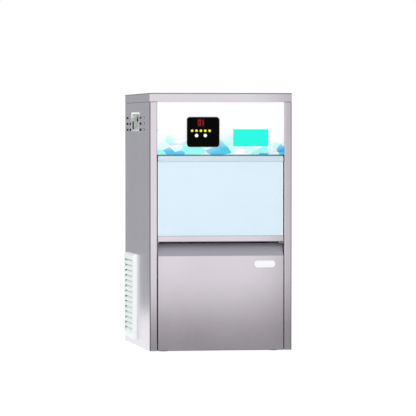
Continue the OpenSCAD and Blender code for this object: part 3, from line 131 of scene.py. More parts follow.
def maths(tree, operation, *values):
    """The result of one operation on sockets or numbers."""
    node = add_node(tree, "ShaderNodeMath", dict(enumerate(values)), operation=operation)
    return node.outputs["Value"]


def mix_colours(tree, factor, first, second):
    node = add_node(tree, "ShaderNodeMix", data_type="RGBA")
    for socket, value in (("Factor_Float", factor), ("A_Color", first), ("B_Color", second)):
        target = next(s for s in node.inputs if s.identifier == socket)
        if isinstance(value, bpy.types.NodeSocket):
            tree.links.new(value, target)
        else:
            target.default_value = value
    return next(s for s in node.outputs if s.identifier == "Result_Color")


def set_surface(surface, **values):
    """Sets constant values on the surface's own sockets."""
    names = {"metallic": "Metallic", "coat": "Coat Weight", "specular": "Specular IOR Level",
             "glow": "Emission Strength", "glow_colour": "Emission Color"}
    for name, value in values.items():
        surface.inputs[names[name]].default_value = value


CLOUD_SCALE = 9.0
BUMP_STRENGTH = 0.35


def grained(name, colour, roughness, scale, stretch=(1, 1, 1), tone=0.04, spread=0.05,
            relief=0.02, cloud=0.03, colour_by=None, **values):
    """A finish whose colour, roughness and relief follow a fine grain and a broad cloud."""
    material, tree, surface = new_material(name)
    grain = object_noise(tree, scale, stretch)
    broad = object_noise(tree, CLOUD_SCALE, detail=2.0)
    if colour_by:
        shade = add_node(tree, "ShaderNodeHueSaturation",
                         {"Value": remap(tree, grain, 1 - tone, 1 + tone),
                          "Color": colour_by(tree)})
        tinted = shade.outputs["Color"]
    else:
        dark, light = toned(colour, 1 - tone), toned(colour, 1 + tone)
        tinted = mix_colours(tree, remap(tree, grain, 0.0, 1.0), dark, light)
    clouded = add_node(tree, "ShaderNodeHueSaturation",
                       {"Value": remap(tree, broad, 1 - cloud, 1 + cloud), "Color": tinted})
    tree.links.new(clouded.outputs["Color"], surface.inputs["Base Color"])
    rough = maths(tree, "ADD", remap(tree, grain, roughness - spread, roughness + spread),
                  remap(tree, broad, -spread / 2, spread / 2))
    tree.links.new(rough, surface.inputs["Roughness"])
    bump = add_node(tree, "ShaderNodeBump",
                    {"Strength": BUMP_STRENGTH, "Distance": relief * MM, "Height": grain})
    tree.links.new(bump.outputs["Normal"], surface.inputs["Normal"])
    set_surface(surface, **values)
    return material


# Finishes

STEEL = srgb(222, 215, 223)
WHITE = srgb(247, 253, 253)
UPRIGHT = (1, 1, 0.012)
LEVEL = (0.012, 1, 1)
DOOR_BLUE = srgb(220, 239, 251)
DOOR_EDGE_HIGHLIGHT = srgb(251, 254, 255)
EDGE_HIGHLIGHT_FROM = 174.2 * MM
EDGE_HIGHLIGHT_BLEND = 0.6 * MM


def door_tint_and_highlight(tree):
    """Pale blue, with a painted highlight along the sawn and polished acrylic edge."""
    across = maths(tree, "ABSOLUTE", object_place(tree)["X"])
    # Painted highlight: the door turns lighter close to its side edges.
    edge = remap(tree, across, 0.0, 1.0, EDGE_HIGHLIGHT_FROM - EDGE_HIGHLIGHT_BLEND, EDGE_HIGHLIGHT_FROM)
    return mix_colours(tree, edge, DOOR_BLUE, DOOR_EDGE_HIGHLIGHT)


AQUA = srgb(150, 250, 246)
PALE = srgb(212, 250, 249)
SKY = srgb(60, 198, 234)
DEEP = srgb(0, 166, 232)
PAPER = srgb(253, 254, 254)
PRINT_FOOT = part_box("control_fascia")[0].z
ICE_LEAN = math.radians(-24)
ICE_PER_M = (34, 58, 1)
ICE_INKS = [(0.0, AQUA), (0.3, PALE), (0.45, SKY), (0.62, AQUA), (0.78, DEEP), (0.86, PAPER)]
DRIFT_PER_M = 11.0
DRIFT_LOW = 18 * MM
DRIFT_HIGH = 85 * MM
ICE_UNEVEN = 14 * MM
FADE_START = 0.25


def ice_print(tree):
    """White panel with a printed drift of broken ice that thins out upwards from its foot."""
    place = object_place(tree)
    flat = add_node(tree, "ShaderNodeCombineXYZ", {"X": place["X"], "Y": place["Z"]})
    lean = add_node(tree, "ShaderNodeMapping",
                    {"Vector": flat.outputs["Vector"], "Rotation": (0, 0, ICE_LEAN),
                     "Scale": ICE_PER_M})
    cells = add_node(tree, "ShaderNodeTexVoronoi", {"Vector": lean.outputs["Vector"], "Scale": 1.0},
                     voronoi_dimensions="2D")
    pick = add_node(tree, "ShaderNodeSeparateColor", {"Color": cells.outputs["Color"]})
    inks = add_node(tree, "ShaderNodeValToRGB", {"Fac": pick.outputs["Red"]})
    inks.color_ramp.interpolation = "CONSTANT"
    while len(inks.color_ramp.elements) < len(ICE_INKS):
        inks.color_ramp.elements.new(1.0)
    for element, (position, colour) in zip(inks.color_ramp.elements, ICE_INKS):
        element.position = position
        element.color = colour
    drift = add_node(tree, "ShaderNodeTexNoise",
                     {"Vector": flat.outputs["Vector"], "Scale": DRIFT_PER_M, "Detail": 1.0})
    height = remap(tree, drift.outputs["Fac"], DRIFT_LOW, DRIFT_HIGH)
    uneven = remap(tree, pick.outputs["Green"], -ICE_UNEVEN, ICE_UNEVEN, 0.0, 1.0)
    above = maths(tree, "SUBTRACT", maths(tree, "ADD", place["Z"], uneven), PRINT_FOOT)
    fade = remap(tree, maths(tree, "DIVIDE", above, height), 0.0, 1.0, FADE_START, 1.0)
    return mix_colours(tree, fade, inks.outputs["Color"], PAPER)


HANDLE_Z = sum(corner.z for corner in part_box("left_carry_handle")) / 2
HANDLE_LOWER_SHADE = srgb(206, 209, 210)
CUP_SHADE = srgb(14, 14, 15)
GRIP_ABOVE = 14 * MM
FLOOR_BELOW = 8 * MM
SHADOW_LINE_ABOVE = 3 * MM
SHADOW_LINE_BELOW = 1 * MM
SHADOW_LINE_X = (194.5 * MM, 199 * MM)
SHADOW_LINE_BLEND = 0.5 * MM
CUP_SLOPE = 0.25
CUP_DEEP = 186.8 * MM
CUP_BLEND = 1 * MM


def handle_painted_shade(tree):
    """White grip, painted shade on the floor below it, and painted shadow in the cup's depth and in
    a line at its end.
    """
    place = object_place(tree)
    across = maths(tree, "ABSOLUTE", place["X"])
    lower = remap(tree, place["Z"], 0.0, 1.0, HANDLE_Z + GRIP_ABOVE, HANDLE_Z + FLOOR_BELOW)
    below = remap(tree, place["Z"], 0.0, 1.0, HANDLE_Z + SHADOW_LINE_ABOVE, HANDLE_Z + SHADOW_LINE_BELOW)
    shadow_line_in, shadow_line_out = SHADOW_LINE_X
    inward = remap(tree, across, 1.0, 0.0, shadow_line_out - SHADOW_LINE_BLEND, shadow_line_out)
    outward = remap(tree, across, 0.0, 1.0, shadow_line_in, shadow_line_in + SHADOW_LINE_BLEND)
    # Painted shadow line near the end of the cup, below its middle.
    shadow_line = maths(tree, "MULTIPLY", maths(tree, "MULTIPLY", inward, outward), below)
    sloped = maths(tree, "MULTIPLY_ADD", place["Z"], CUP_SLOPE, across)
    deepest = CUP_DEEP + CUP_SLOPE * HANDLE_Z
    in_depth = remap(tree, sloped, 1.0, 0.0, deepest, deepest + CUP_BLEND)
    deep_shade = maths(tree, "MULTIPLY", in_depth, maths(tree, "SUBTRACT", 1.0, below))
    # Painted shade: grey low in the cup, black in the line and in the deepest part.
    tinted = mix_colours(tree, lower, WHITE, HANDLE_LOWER_SHADE)
    shadow_lined = mix_colours(tree, shadow_line, tinted, CUP_SHADE)
    return mix_colours(tree, deep_shade, shadow_lined, CUP_SHADE)


FOLD = 3.0 * MM
FOLD_SHADE = srgb(92, 91, 97)
SEAM_SHADE = srgb(48, 48, 52)
SEAM_DEPTH = 1.4 * MM
SEAM_BLEND = 0.1 * MM
panel_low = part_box("left_side_panel")[0]
cover_low, cover_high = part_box("top_cover")


def side_fold_shade(tree):
    """Steel with painted shade round the fold between a side and its front post, and a painted
    shadow band under the cover.
    """
    place = object_place(tree)
    across = maths(tree, "ABSOLUTE", place["X"])
    outer = -panel_low.x
    at_side = remap(tree, across, 0.0, 1.0, outer - FOLD, outer - FOLD / 2)
    at_front = remap(tree, place["Y"], 1.0, 0.0, panel_low.y + FOLD / 2, panel_low.y + FOLD)
    fold_shaded = mix_colours(tree, maths(tree, "MULTIPLY", at_side, at_front), STEEL, FOLD_SHADE)
    seat = cover_low.z - SEAM_DEPTH
    seam_shadow = remap(tree, place["Z"], 0.0, 1.0, seat, seat + SEAM_BLEND)
    return mix_colours(tree, seam_shadow, fold_shaded, SEAM_SHADE)


def cover_fold_shade(tree):
    """Steel with painted shade round the folded upper edge of the cover."""
    height = object_place(tree)["Z"]
    top = cover_high.z
    below_top = remap(tree, height, 1.0, 0.0, top - 2 * SEAM_BLEND, top - SEAM_BLEND)
    near_top = remap(tree, height, 0.0, 1.0, top - FOLD, top - FOLD / 2)
    return mix_colours(tree, maths(tree, "MULTIPLY", near_top, below_top), STEEL, FOLD_SHADE)


GRILLE_SHADE = srgb(138, 156, 158)
LOUVRE_BORDER = 18 * MM
LOUVRE_DEEP = 203.6 * MM
LOUVRE_FADE = 2.2 * MM
BORDER_BLEND = 1 * MM
grille_low, grille_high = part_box("left_grille")


def grille_painted_shade(tree):
    """White, with painted shade where each louvre runs in under the one above it."""
    place = object_place(tree)
    across = maths(tree, "ABSOLUTE", place["X"])
    deep_shade = remap(tree, across, 1.0, 0.0, LOUVRE_DEEP, LOUVRE_DEEP + LOUVRE_FADE)
    for axis, low, high in (("Y", grille_low.y, grille_high.y), ("Z", grille_low.z, grille_high.z)):
        last, first = high - LOUVRE_BORDER, low + LOUVRE_BORDER
        before = remap(tree, place[axis], 1.0, 0.0, last, last + BORDER_BLEND)
        beyond = remap(tree, place[axis], 0.0, 1.0, first - BORDER_BLEND, first)
        deep_shade = maths(tree, "MULTIPLY", maths(tree, "MULTIPLY", deep_shade, before), beyond)
    return mix_colours(tree, deep_shade, WHITE, GRILLE_SHADE)


def brushed(name, grain, colour_by=None):
    """Finely brushed stainless steel."""
    return grained(name, STEEL, 0.24, 2200, grain, tone=0.015, spread=0.025, relief=0.008,
                   colour_by=colour_by, metallic=1.0)


def moulded(name, roughness, colour_by=None):
    """White moulded plastic with a fine texture."""
    return grained(name, WHITE, roughness, 1400, tone=0.01, spread=0.05, relief=0.02, cloud=0.01,
                   colour_by=colour_by)


finishes = {
    "steel_upright": brushed("steel_upright", UPRIGHT),
    "steel_side": brushed("steel_side", UPRIGHT, side_fold_shade),
    "steel_cover": brushed("steel_cover", LEVEL, cover_fold_shade),
    "steel_level": brushed("steel_level", LEVEL),
    "steel_inner": grained("steel_inner", srgb(196, 196, 200), 0.36, 900, LEVEL, 0.05, 0.06, 0.02,
                           metallic=1.0),
    "white_plastic": moulded("white_plastic", 0.38),
    "printed_panel": grained("printed_panel", None, 0.22, 900, tone=0.004, spread=0.03,
                             relief=0.006, cloud=0.003, colour_by=ice_print, coat=0.3),
    "handle_plastic": moulded("handle_plastic", 0.4, handle_painted_shade),
    "grille_plastic": moulded("grille_plastic", 0.38, grille_painted_shade),
    "blue_acrylic": grained("blue_acrylic", None, 0.12, 300, tone=0.006, spread=0.03, relief=0.004,
                            cloud=0.008, colour_by=door_tint_and_highlight, coat=0.25),
    "pale_rail": grained("pale_rail", srgb(205, 225, 235), 0.26, 900, LEVEL, 0.02, 0.04, 0.008,
                         coat=0.2),
    "black_plastic": grained("black_plastic", srgb(9, 9, 10), 0.3, 1500, tone=0.2, spread=0.06),
    "keypad_film": grained("keypad_film", srgb(3, 3, 4), 0.45, 1500, tone=0.2, spread=0.05,
                           specular=0.03),
    "rubber": grained("rubber", srgb(38, 38, 40), 0.75, 900, tone=0.15, spread=0.08, relief=0.05),
    "foam": grained("foam", srgb(238, 226, 188), 0.9, 500, tone=0.08, spread=0.05, relief=0.4),
    "display": grained("display", srgb(16, 4, 5), 0.4, 900, tone=0.1, spread=0.03, specular=0.15),
    "lamp_yellow": grained("lamp_yellow", srgb(240, 222, 40), 0.2, 900, tone=0.05, spread=0.03,
                           glow=0.25, glow_colour=srgb(255, 235, 60)),
    "circuit_board": grained("circuit_board", srgb(24, 96, 52), 0.4, 250, (1, 1, 0.1), 0.25, 0.1,
                             0.05),
    "cast_housing": grained("cast_housing", srgb(70, 73, 78), 0.55, 350, tone=0.12, spread=0.1,
                            relief=0.25),
    "motor_paint": grained("motor_paint", srgb(48, 54, 66), 0.4, 700, tone=0.08, spread=0.06),
    "black_paint": grained("black_paint", srgb(22, 22, 23), 0.28, 500, tone=0.1, spread=0.06,
                           coat=0.3),
    "fan_plastic": grained("fan_plastic", srgb(44, 44, 46), 0.5, 800, tone=0.1, spread=0.06),
    "aluminium": grained("aluminium", srgb(205, 207, 210), 0.32, 900, UPRIGHT, 0.06, 0.06, 0.03,
                         metallic=1.0),
    "copper": grained("copper", srgb(205, 132, 96), 0.3, 240, tone=0.14, spread=0.08, cloud=0.12,
                      metallic=1.0),
    "brass": grained("brass", srgb(206, 174, 104), 0.28, 1800, (1, 0.02, 1), 0.08, 0.06, 0.02,
                     metallic=1.0),
}

# The sill of the lower panel gets a dull grey painted shade, the flat face below it stays brushed
SILL_RISE = 34.5 * MM
SILL_BLEND = 0.4 * MM
SILL_METAL = 0.1
SILL_SHADE = srgb(168, 166, 177)
lower_low, lower_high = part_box("lower_front_panel")


def sill_finish():
    """Brushed steel with painted shade on the sill and along the fold at its foot."""
    material = finishes["steel_upright"].copy()
    material.name = "steel_sill"
    tree = material.node_tree
    surface = tree.nodes["Principled BSDF"]
    height = object_place(tree)["Z"]
    foot = lower_high.z - SILL_RISE
    share = remap(tree, height, 0.0, 1.0, foot - SILL_BLEND, foot + SILL_BLEND)
    hem_shade = remap(tree, height, 1.0, 0.0, lower_low.z + FOLD / 2, lower_low.z + FOLD)
    tree.links.new(remap(tree, share, 1.0, SILL_METAL, 0.0, 1.0), surface.inputs["Metallic"])
    brushed = surface.inputs["Base Color"].links[0].from_socket
    # Painted shade: grey on the sill, darker along the hem.
    base = mix_colours(tree, hem_shade, mix_colours(tree, share, brushed, SILL_SHADE), FOLD_SHADE)
    tree.links.new(base, surface.inputs["Base Color"])
    return material


finishes["steel_sill"] = sill_finish()

LEVEL_STEEL = {"door_handle_rail"}
UPRIGHT_STEEL = {"rear_panel"}
OWN_FINISH = {
    "left_side_panel": "steel_side",
    "right_side_panel": "steel_side",
    "top_cover": "steel_cover",
    "left_grille": "grille_plastic",
    "right_grille": "grille_plastic",
    "keypad_plate": "keypad_film",
    "lower_front_panel": "steel_sill",
    "left_carry_handle": "handle_plastic",
    "right_carry_handle": "handle_plastic",
}


def finish_of(node, slot):
    if node in OWN_FINISH:
        return finishes[OWN_FINISH[node]]
    if slot != "stainless":
        return finishes[slot]
    if node in LEVEL_STEEL:
        return finishes["steel_level"]
    return finishes["steel_upright" if node in UPRIGHT_STEEL else "steel_inner"]


for subpart in frame["record"]["subparts"]:
    node = subpart["node"]
    shown = nodes[node]
    shown.data.materials.clear()
    shown.data.materials.append(finish_of(node, subpart["material_slot"]))


# Broken edges on the pieces that are seen

EDGES_MM = {
    "top_cover": 0.3,
    "control_fascia": 0.4,
    "left_grille": 0.5,
    "right_grille": 0.5,
    "left_carry_handle": 0.5,
    "right_carry_handle": 0.5,
    "door_panel": 0.5,
    "door_top_rail": 0.5,
    "door_handle_rail": 0.5,
    "hinge_blocks": 0.4,
    "keypad_plate": 0.5,
    "left_button": 0.3,
    "right_button": 0.3,
    "rubber_feet": 0.5,
    "power_inlet": 0.4,
    "drain_outlet": 0.4,
}


WELD_MM = 0.01
SHARP_FROM = math.radians(40)


def break_edges(node, width):
    """Rounds a CAD node's sharp edges."""
    weld = nodes[node].modifiers.new("weld", "WELD")
    weld.merge_threshold = WELD_MM * MM
    bevel = nodes[node].modifiers.new("edges", "BEVEL")
    bevel.width = width * MM
    bevel.segments = 2
    bevel.limit_method = "ANGLE"
    bevel.angle_limit = SHARP_FROM
    bevel.harden_normals = True


for node, width in EDGES_MM.items():
    break_edges(node, width)


# Pieces made here


def add_piece(name, bm, material, body):
    """Turns a bmesh into a piece that rides on a body."""
    mesh = bpy.data.meshes.new(name)
    bmesh.ops.recalc_face_normals(bm, faces=bm.faces)
    bm.to_mesh(mesh)
    bm.free()
    piece = bpy.data.objects.new(name, mesh)
    scene.collection.objects.link(piece)
    mesh.materials.append(material)
    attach(piece, body)
    return piece


def round_rect(width, height, radius, steps=6):
    """Outline of a rectangle with rounded corners, round its middle."""
    corners = [(1, 1, 0), (-1, 1, 90), (-1, -1, 180), (1, -1, 270)]
    points = []
    for side, up, start in corners:
        for step in range(steps + 1):
            angle = math.radians(start + 90 * step / steps)
            points.append((side * (width / 2 - radius) + radius * math.cos(angle),
                           up * (height / 2 - radius) + radius * math.sin(angle)))
    return points


def loft(bm, rings, capped=True):
    """Skins rings of equal length, each a list of points."""
    loops = [[bm.verts.new(p) for p in ring] for ring in rings]
    count = len(loops[0])
    for first, second in zip(loops, loops[1:]):
        for i in range(count):
            j = (i + 1) % count
            bm.faces.new((first[i], first[j], second[j], second[i]))
    if capped:
        bm.faces.new(loops[0])
        bm.faces.new(loops[-1])


RIM_BEND = 0.3


def front_plate(name, finish, centre, size, radius, y_back, thickness, edge):
    """A plate with a softened rim on a front face. All sizes are in metres."""
    bend = edge * RIM_BEND
    rim = ((0, 0), (0, thickness - edge), (bend, thickness - bend), (edge, thickness))
    rings = []
    for inset, depth in rim:
        outline = round_rect(size[0] - 2 * inset, size[1] - 2 * inset, radius - inset)
        rings.append([(centre[0] + x, y_back - depth, centre[1] + z) for x, z in outline])
    bm = bmesh.new()
    loft(bm, rings)
    add_piece(name, bm, finish, "cabinet")


# Blank label on the control panel and blank badge on the lower panel

label_finish = grained("label_film", srgb(30, 249, 226), 0.4, 900, tone=0.01, spread=0.04,
                       relief=0.006, cloud=0.01, specular=0.2)
badge_finish = grained("badge_plate", srgb(250, 251, 253), 0.25, 900, tone=0.006, spread=0.03,
                       relief=0.006, cloud=0.004, coat=0.4)
LABEL_X = 84.3 * MM
LABEL_ABOVE_FOOT = 46.9 * MM
LABEL_SIZE = (99.4 * MM, 47.7 * MM)
BADGE_X = 123.7 * MM
BADGE_BELOW_TOP = 57.5 * MM
BADGE_SIZE = (58 * MM, 19 * MM)
fascia_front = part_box("control_fascia")[0].y

front_plate("blank_label", label_finish, (LABEL_X, PRINT_FOOT + LABEL_ABOVE_FOOT), LABEL_SIZE,
            radius=1.5 * MM, y_back=fascia_front, thickness=0.35 * MM, edge=0.15 * MM)
front_plate("blank_badge", badge_finish, (BADGE_X, lower_high.z - BADGE_BELOW_TOP), BADGE_SIZE,
            radius=7.5 * MM, y_back=lower_low.y, thickness=0.9 * MM, edge=0.4 * MM)


# Digits on the display

SEGMENT_T = 1.5
SEGMENT_GAP = 0.35
SEGMENT_RISE = 0.12
DIGIT_W = 4.8
DIGIT_H = 14.6
DIGIT_STEP = 7.2
DIGIT_LIFT = 0.9
digit_finish = grained("digit_glow", srgb(150, 10, 16), 0.4, 900, tone=0.05, spread=0.03,
                       glow=0.6, glow_colour=srgb(204, 14, 24), specular=0.1)
SEGMENTS = {
    "0": "abcdef",
    "1": "bc",
}


def segment_outline(letter):
    """Six-sided bar of one segment of a digit, round the digit's middle."""
    w, h, t = DIGIT_W / 2, DIGIT_H / 2, SEGMENT_T / 2
    level = {"a": h, "d": -h}
    upright = {"b": (w, 1), "c": (w, -1), "e": (-w, -1), "f": (-w, 1)}
    if letter in level:
        z, reach = level[letter], w - SEGMENT_GAP
        return [(-reach, z), (-reach + t, z + t), (reach - t, z + t), (reach, z),
                (reach - t, z - t), (-reach + t, z - t)]
    x, up = upright[letter]
    low, high = sorted((up * SEGMENT_GAP, up * (h - SEGMENT_GAP)))
    return [(x, low), (x + t, low + t), (x + t, high - t), (x, high), (x - t, high - t),
            (x - t, low + t)]


display_low, display_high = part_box("display_module")
display_x = (display_low.x + display_high.x) / 2
display_z = (display_low.z + display_high.z) / 2 + DIGIT_LIFT * MM
bm = bmesh.new()
for digit, offset in (("0", -DIGIT_STEP / 2), ("1", DIGIT_STEP / 2)):
    for letter in SEGMENTS[digit]:
        outline = segment_outline(letter)
        loft(bm, [[(display_x + (offset + x) * MM, display_low.y - depth * MM, display_z + z * MM)
                   for x, z in outline] for depth in (0, SEGMENT_RISE)])
add_piece("display_digits", bm, digit_finish, "cabinet")


# Domed lenses on the indicator lamps

LENS_R = 3.3
LENS_RISE = 0.9
LENS_TILTS = (0, 20, 40, 60, 78)
LAMPS = 5
ROUND_SIDES = 20
ROUND = [math.tau * side / ROUND_SIDES for side in range(ROUND_SIDES)]
lamp_low, lamp_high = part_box("indicator_lamps")
lamp_d = lamp_high.z - lamp_low.z
lamp_step = (lamp_high.x - lamp_low.x - lamp_d) / (LAMPS - 1)
lamp_z = (lamp_low.z + lamp_high.z) / 2
bm = bmesh.new()
for lamp in range(LAMPS):
    x = lamp_low.x + lamp_d / 2 + lamp * lamp_step
    rings = []
    for tilt in LENS_TILTS:
        radius = LENS_R * math.cos(math.radians(tilt)) * MM
        rise = LENS_RISE * math.sin(math.radians(tilt)) * MM
        rings.append([(x + radius * math.cos(a), lamp_low.y - rise, lamp_z + radius * math.sin(a))
                      for a in ROUND])
    loft(bm, rings)
lenses = add_piece("lamp_lenses", bm, finishes["lamp_yellow"], "cabinet")
for face in lenses.data.polygons:
    face.use_smooth = True


# Screws with a cross recess

SCREW_D = 7 * MM
SCREW_INSET = 7 * MM
SCREW_HEIGHTS = [height * MM for height in (35, 190, 345, 500, 655)]
HEAD_RISE = 0.34
HEAD_PROFILE = ((1.0, 0.0), (1.0, 0.12), (0.9, 0.24), (0.72, 0.32), (0.62, HEAD_RISE))
CROSS_ARM = 0.46
CROSS_HALF = 0.1
CROSS_FLOOR = 0.1
CROSS_TAPER = 0.8
JOIN_MM = 0.001


def add_screw(bm, place, outward, diameter):
    """A pan-head screw on a face, its head standing out along outward. Shares of its radius."""
    turn = Vector((0, 0, 1)).rotation_difference(Vector(outward)).to_matrix().to_4x4()
    matrix = Matrix.Translation(Vector(place)) @ turn
    radius = diameter / 2
    rings = []
    for share, rise in HEAD_PROFILE:
        rings.append([matrix @ (Vector((math.cos(a) * share, math.sin(a) * share, rise)) * radius)
                      for a in ROUND])
    loft(bm, rings, capped=False)
    arm, half = CROSS_ARM, CROSS_HALF
    cross = [(half, half), (half, arm), (-half, arm), (-half, half), (-arm, half), (-arm, -half),
             (-half, -half), (-half, -arm), (half, -arm), (half, -half), (arm, -half), (arm, half)]
    top = [bm.verts.new(p) for p in rings[-1]]
    mouth = [bm.verts.new(matrix @ (Vector((x, y, HEAD_RISE)) * radius)) for x, y in cross]
    sunk = [Vector((x * CROSS_TAPER, y * CROSS_TAPER, CROSS_FLOOR)) for x, y in cross]
    floor = [bm.verts.new(matrix @ (corner * radius)) for corner in sunk]
    edges = [bm.edges.new((loop[i], loop[(i + 1) % len(loop)]))
             for loop in (top, mouth) for i in range(len(loop))]
    bmesh.ops.triangle_fill(bm, use_beauty=True, edges=edges)
    for i in range(len(cross)):
        j = (i + 1) % len(cross)
        bm.faces.new((mouth[i], mouth[j], floor[j], floor[i]))
    bm.faces.new(floor)
    bmesh.ops.remove_doubles(bm, verts=bm.verts, dist=JOIN_MM * MM)


rear_low, rear_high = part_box("rear_panel")
bm = bmesh.new()
for side in (rear_low.x + SCREW_INSET, rear_high.x - SCREW_INSET):
    for height in SCREW_HEIGHTS:
        add_screw(bm, (side, rear_high.y, height), (0, 1, 0), SCREW_D)
add_piece("rear_screws", bm, finishes["steel_inner"], "cabinet")


# Thread of the water inlet

THREAD_PITCH = 1.8
THREAD_TURNS = 8
THREAD_R = 13.2
THREAD_RISE = 0.45
THREAD_ROOT = -0.15
THREAD_HALF = 0.42
THREAD_START = 0.7
THREAD_SIDES = 40
RUN_OUT_STEPS = 12
inlet_low, inlet_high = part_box("water_inlet")
inlet_x = (inlet_low.x + inlet_high.x) / 2
inlet_z = (inlet_low.z + inlet_high.z) / 2
thread_steps = THREAD_TURNS * THREAD_SIDES
bm = bmesh.new()
rings = []
for step in range(thread_steps + 1):
    angle = math.tau * step / THREAD_SIDES
    run_out = min(1.0, step / RUN_OUT_STEPS, (thread_steps - step) / RUN_OUT_STEPS)
    along = inlet_high.y - (THREAD_START + THREAD_PITCH * step / THREAD_SIDES) * MM
    crest = THREAD_RISE * run_out
    profile = ((-THREAD_HALF, THREAD_ROOT), (0.0, crest), (THREAD_HALF, THREAD_ROOT))
    ring = []
    for shift, rise in profile:
        radius = (THREAD_R + rise) * MM
        ring.append((inlet_x + radius * math.cos(angle), along + shift * THREAD_PITCH * MM,
                     inlet_z + radius * math.sin(angle)))
    rings.append(ring)
loft(bm, rings)
add_piece("inlet_thread", bm, finishes["brass"], "cabinet")


# Studio

FLOOR_REACH = 60.0
FLOOR_GREY = (0.85, 0.85, 0.85, 1)
FLOOR_FAINT = (0.22, 0.22, 0.22, 1)
FLOOR_GLOW = 0.9
AMBIENT = 0.72
PURE_WHITE = (1, 1, 1, 1)


def ray_mask(tree):
    """1 for camera, glossy and transmission rays, else 0."""
    rays = add_node(tree, "ShaderNodeLightPath").outputs
    mirrored = maths(tree, "MAXIMUM", rays["Is Camera Ray"], rays["Is Glossy Ray"])
    return maths(tree, "MAXIMUM", mirrored, rays["Is Transmission Ray"])


world = bpy.data.worlds.new("studio")
world.use_nodes = True
scene.world = world
background = world.node_tree.nodes["Background"]
level = remap(world.node_tree, ray_mask(world.node_tree), AMBIENT, 1.0, 0.0, 1.0)
world.node_tree.links.new(level, background.inputs["Strength"])
background.inputs["Color"].default_value = PURE_WHITE

floor_finish, floor_tree, floor_surface = new_material("floor")
floor_tree.nodes.remove(floor_surface)
matt = add_node(floor_tree, "ShaderNodeBsdfDiffuse", {"Color": FLOOR_GREY})
faint = add_node(floor_tree, "ShaderNodeBsdfDiffuse", {"Color": FLOOR_FAINT})
glow = add_node(floor_tree, "ShaderNodeEmission", {"Color": PURE_WHITE, "Strength": FLOOR_GLOW})
pale = add_node(floor_tree, "ShaderNodeAddShader", {0: glow.outputs[0], 1: faint.outputs[0]})
seen = add_node(floor_tree, "ShaderNodeMixShader", {0: ray_mask(floor_tree), 1: matt.outputs[0],
                                                    2: pale.outputs[0]})
floor_tree.links.new(seen.outputs[0], floor_tree.nodes["Material Output"].inputs["Surface"])
floor_mesh = bpy.data.meshes.new("floor")
floor_mesh.from_pydata([(-FLOOR_REACH, -FLOOR_REACH, 0), (FLOOR_REACH, -FLOOR_REACH, 0),
                        (FLOOR_REACH, FLOOR_REACH, 0), (-FLOOR_REACH, FLOOR_REACH, 0)], [],
                       [(0, 1, 2, 3)])
floor_mesh.materials.append(floor_finish)
floor = bpy.data.objects.new("floor", floor_mesh)
scene.collection.objects.link(floor)


def add_card(name, corners, strength_by, colour=PURE_WHITE):
    """A studio card that only reflections see. Its brightness is a function of its place."""
    material, tree, surface = new_material(name)
    tree.nodes.remove(surface)
    glow = add_node(tree, "ShaderNodeEmission", {"Color": colour})
    tree.links.new(strength_by(tree, object_place(tree)), glow.inputs["Strength"])
    tree.links.new(glow.outputs[0], tree.nodes["Material Output"].inputs["Surface"])
    mesh = bpy.data.meshes.new(name)
    mesh.from_pydata(corners, [], [(0, 1, 2, 3)])
    mesh.materials.append(material)
    card = bpy.data.objects.new(name, mesh)
    scene.collection.objects.link(card)
    card.visible_camera = card.visible_diffuse = card.visible_shadow = False
    card.visible_transmission = card.visible_volume_scatter = False


FOOT_GLOW = 0.36
FOOT_Z = (-0.01, 0.2)
RIGHT_GLOW = 0.58
RIGHT_X = (0.235, 0.29)
CARD_FADE = 2
CARD_GAIN = 1.05


def front_glow(tree, place):
    """Bright above, dark near the floor, and darker to the right."""
    rise = remap(tree, place["Z"], FOOT_GLOW, 1.0, *FOOT_Z, "SMOOTHSTEP")
    fall = remap(tree, place["X"], 1.0, RIGHT_GLOW, *RIGHT_X, "SMOOTHSTEP")
    return maths(tree, "MULTIPLY", rise, fall)


def even(strength):
    """Nearly the same brightness all over, a little more at the top."""
    return lambda tree, place: remap(tree, place["Z"], strength, strength * CARD_GAIN, 0,
                                     CARD_FADE, "SMOOTHSTEP")


def upright_card(name, first, second, low, high, strength_by, colour=PURE_WHITE):
    """A card that stands on the line from one floor point to another."""
    add_card(name, [(*first, low), (*second, low), (*second, high), (*first, high)], strength_by,
             colour)


def level_card(name, near, far, strength_by):
    """A card between two lines across the studio, each with its two ends, its Y and its Z."""
    (near_left, near_right, near_y, near_z), (far_left, far_right, far_y, far_z) = near, far
    add_card(name, [(near_left, near_y, near_z), (near_right, near_y, near_z),
                    (far_right, far_y, far_z), (far_left, far_y, far_z)], strength_by)


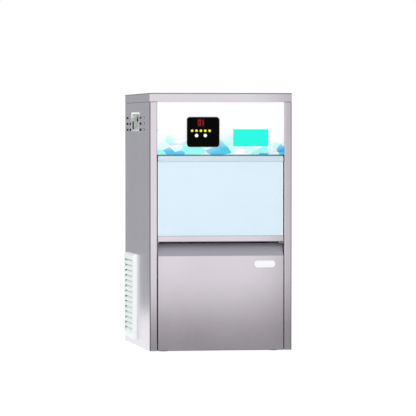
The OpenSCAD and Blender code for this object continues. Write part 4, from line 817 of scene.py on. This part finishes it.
COOL = (0.93, 0.97, 1.0, 1)
CARD_LEFT = -1.2
CARD_RIGHT = 1.6
CARD_TOP = 1.6
FRONT_Y = cad_box[0].y - 0.5
APRON_Y = cad_box[0].y - 0.01
APRON_Z = 0.001
ROOM_X = 2.5
ROOM_Y = 1.8
ROOM_TOP = 2.2
upright_card("front_card", (CARD_LEFT, FRONT_Y), (CARD_RIGHT, FRONT_Y), 0, CARD_TOP, front_glow)
level_card("apron_card", (CARD_LEFT, CARD_RIGHT, FRONT_Y, APRON_Z),
           (CARD_LEFT, CARD_RIGHT, APRON_Y, APRON_Z), even(0.36))
upright_card("corner_card", (CARD_LEFT, FRONT_Y), (-ROOM_X, -ROOM_Y), 0, CARD_TOP, even(0.1))
level_card("brow_card", (CARD_LEFT, CARD_RIGHT, FRONT_Y, CARD_TOP),
           (-ROOM_X, ROOM_X, -ROOM_Y, ROOM_TOP), even(0.12))
upright_card("rear_card", (-ROOM_X, ROOM_Y), (ROOM_X, ROOM_Y), 0, ROOM_TOP, even(0.46), COOL)
upright_card("left_card", (-ROOM_X, -ROOM_Y), (-ROOM_X, ROOM_Y), 0, ROOM_TOP, even(0.55), COOL)
upright_card("right_card", (ROOM_X, -ROOM_Y), (ROOM_X, ROOM_Y), 0, ROOM_TOP, even(0.5), COOL)
level_card("top_card", (-ROOM_X, ROOM_X, -ROOM_Y, ROOM_TOP), (-ROOM_X, ROOM_X, ROOM_Y, ROOM_TOP),
           even(0.42))


LIGHT_SIZE = 2.0


def add_area_light(name, place, target, power):
    light = bpy.data.lights.new(name, "AREA")
    light.shape = "DISK"
    light.size = LIGHT_SIZE
    light.energy = power
    lamp = bpy.data.objects.new(name, light)
    lamp.location = place
    lamp.rotation_euler = (Vector(target) - Vector(place)).to_track_quat("-Z", "Y").to_euler()
    lamp.visible_glossy = False
    scene.collection.objects.link(lamp)


add_area_light("key", (-1.6, -3.0, 2.6), (0, 0, 0.4), 38)
add_area_light("fill", (2.2, -2.6, 1.2), (0, 0, 0.4), 10)
add_area_light("side", (-3.0, 0.3, 1.3), (0, 0, 0.3), 18)


# Camera at the photograph's viewing angle

camera_data = bpy.data.cameras.new("camera")
camera_data.sensor_width = 36.0
camera_data.lens = 282.9
camera_data.clip_end = 200.0
camera = bpy.data.objects.new("camera", camera_data)
camera.location = (-1.4967, -9.2150, 0.6057)
camera.rotation_euler = (math.radians(88.698), 0, math.radians(-9.26))
scene.collection.objects.link(camera)
scene.camera = camera

scene.view_settings.view_transform = "Standard"
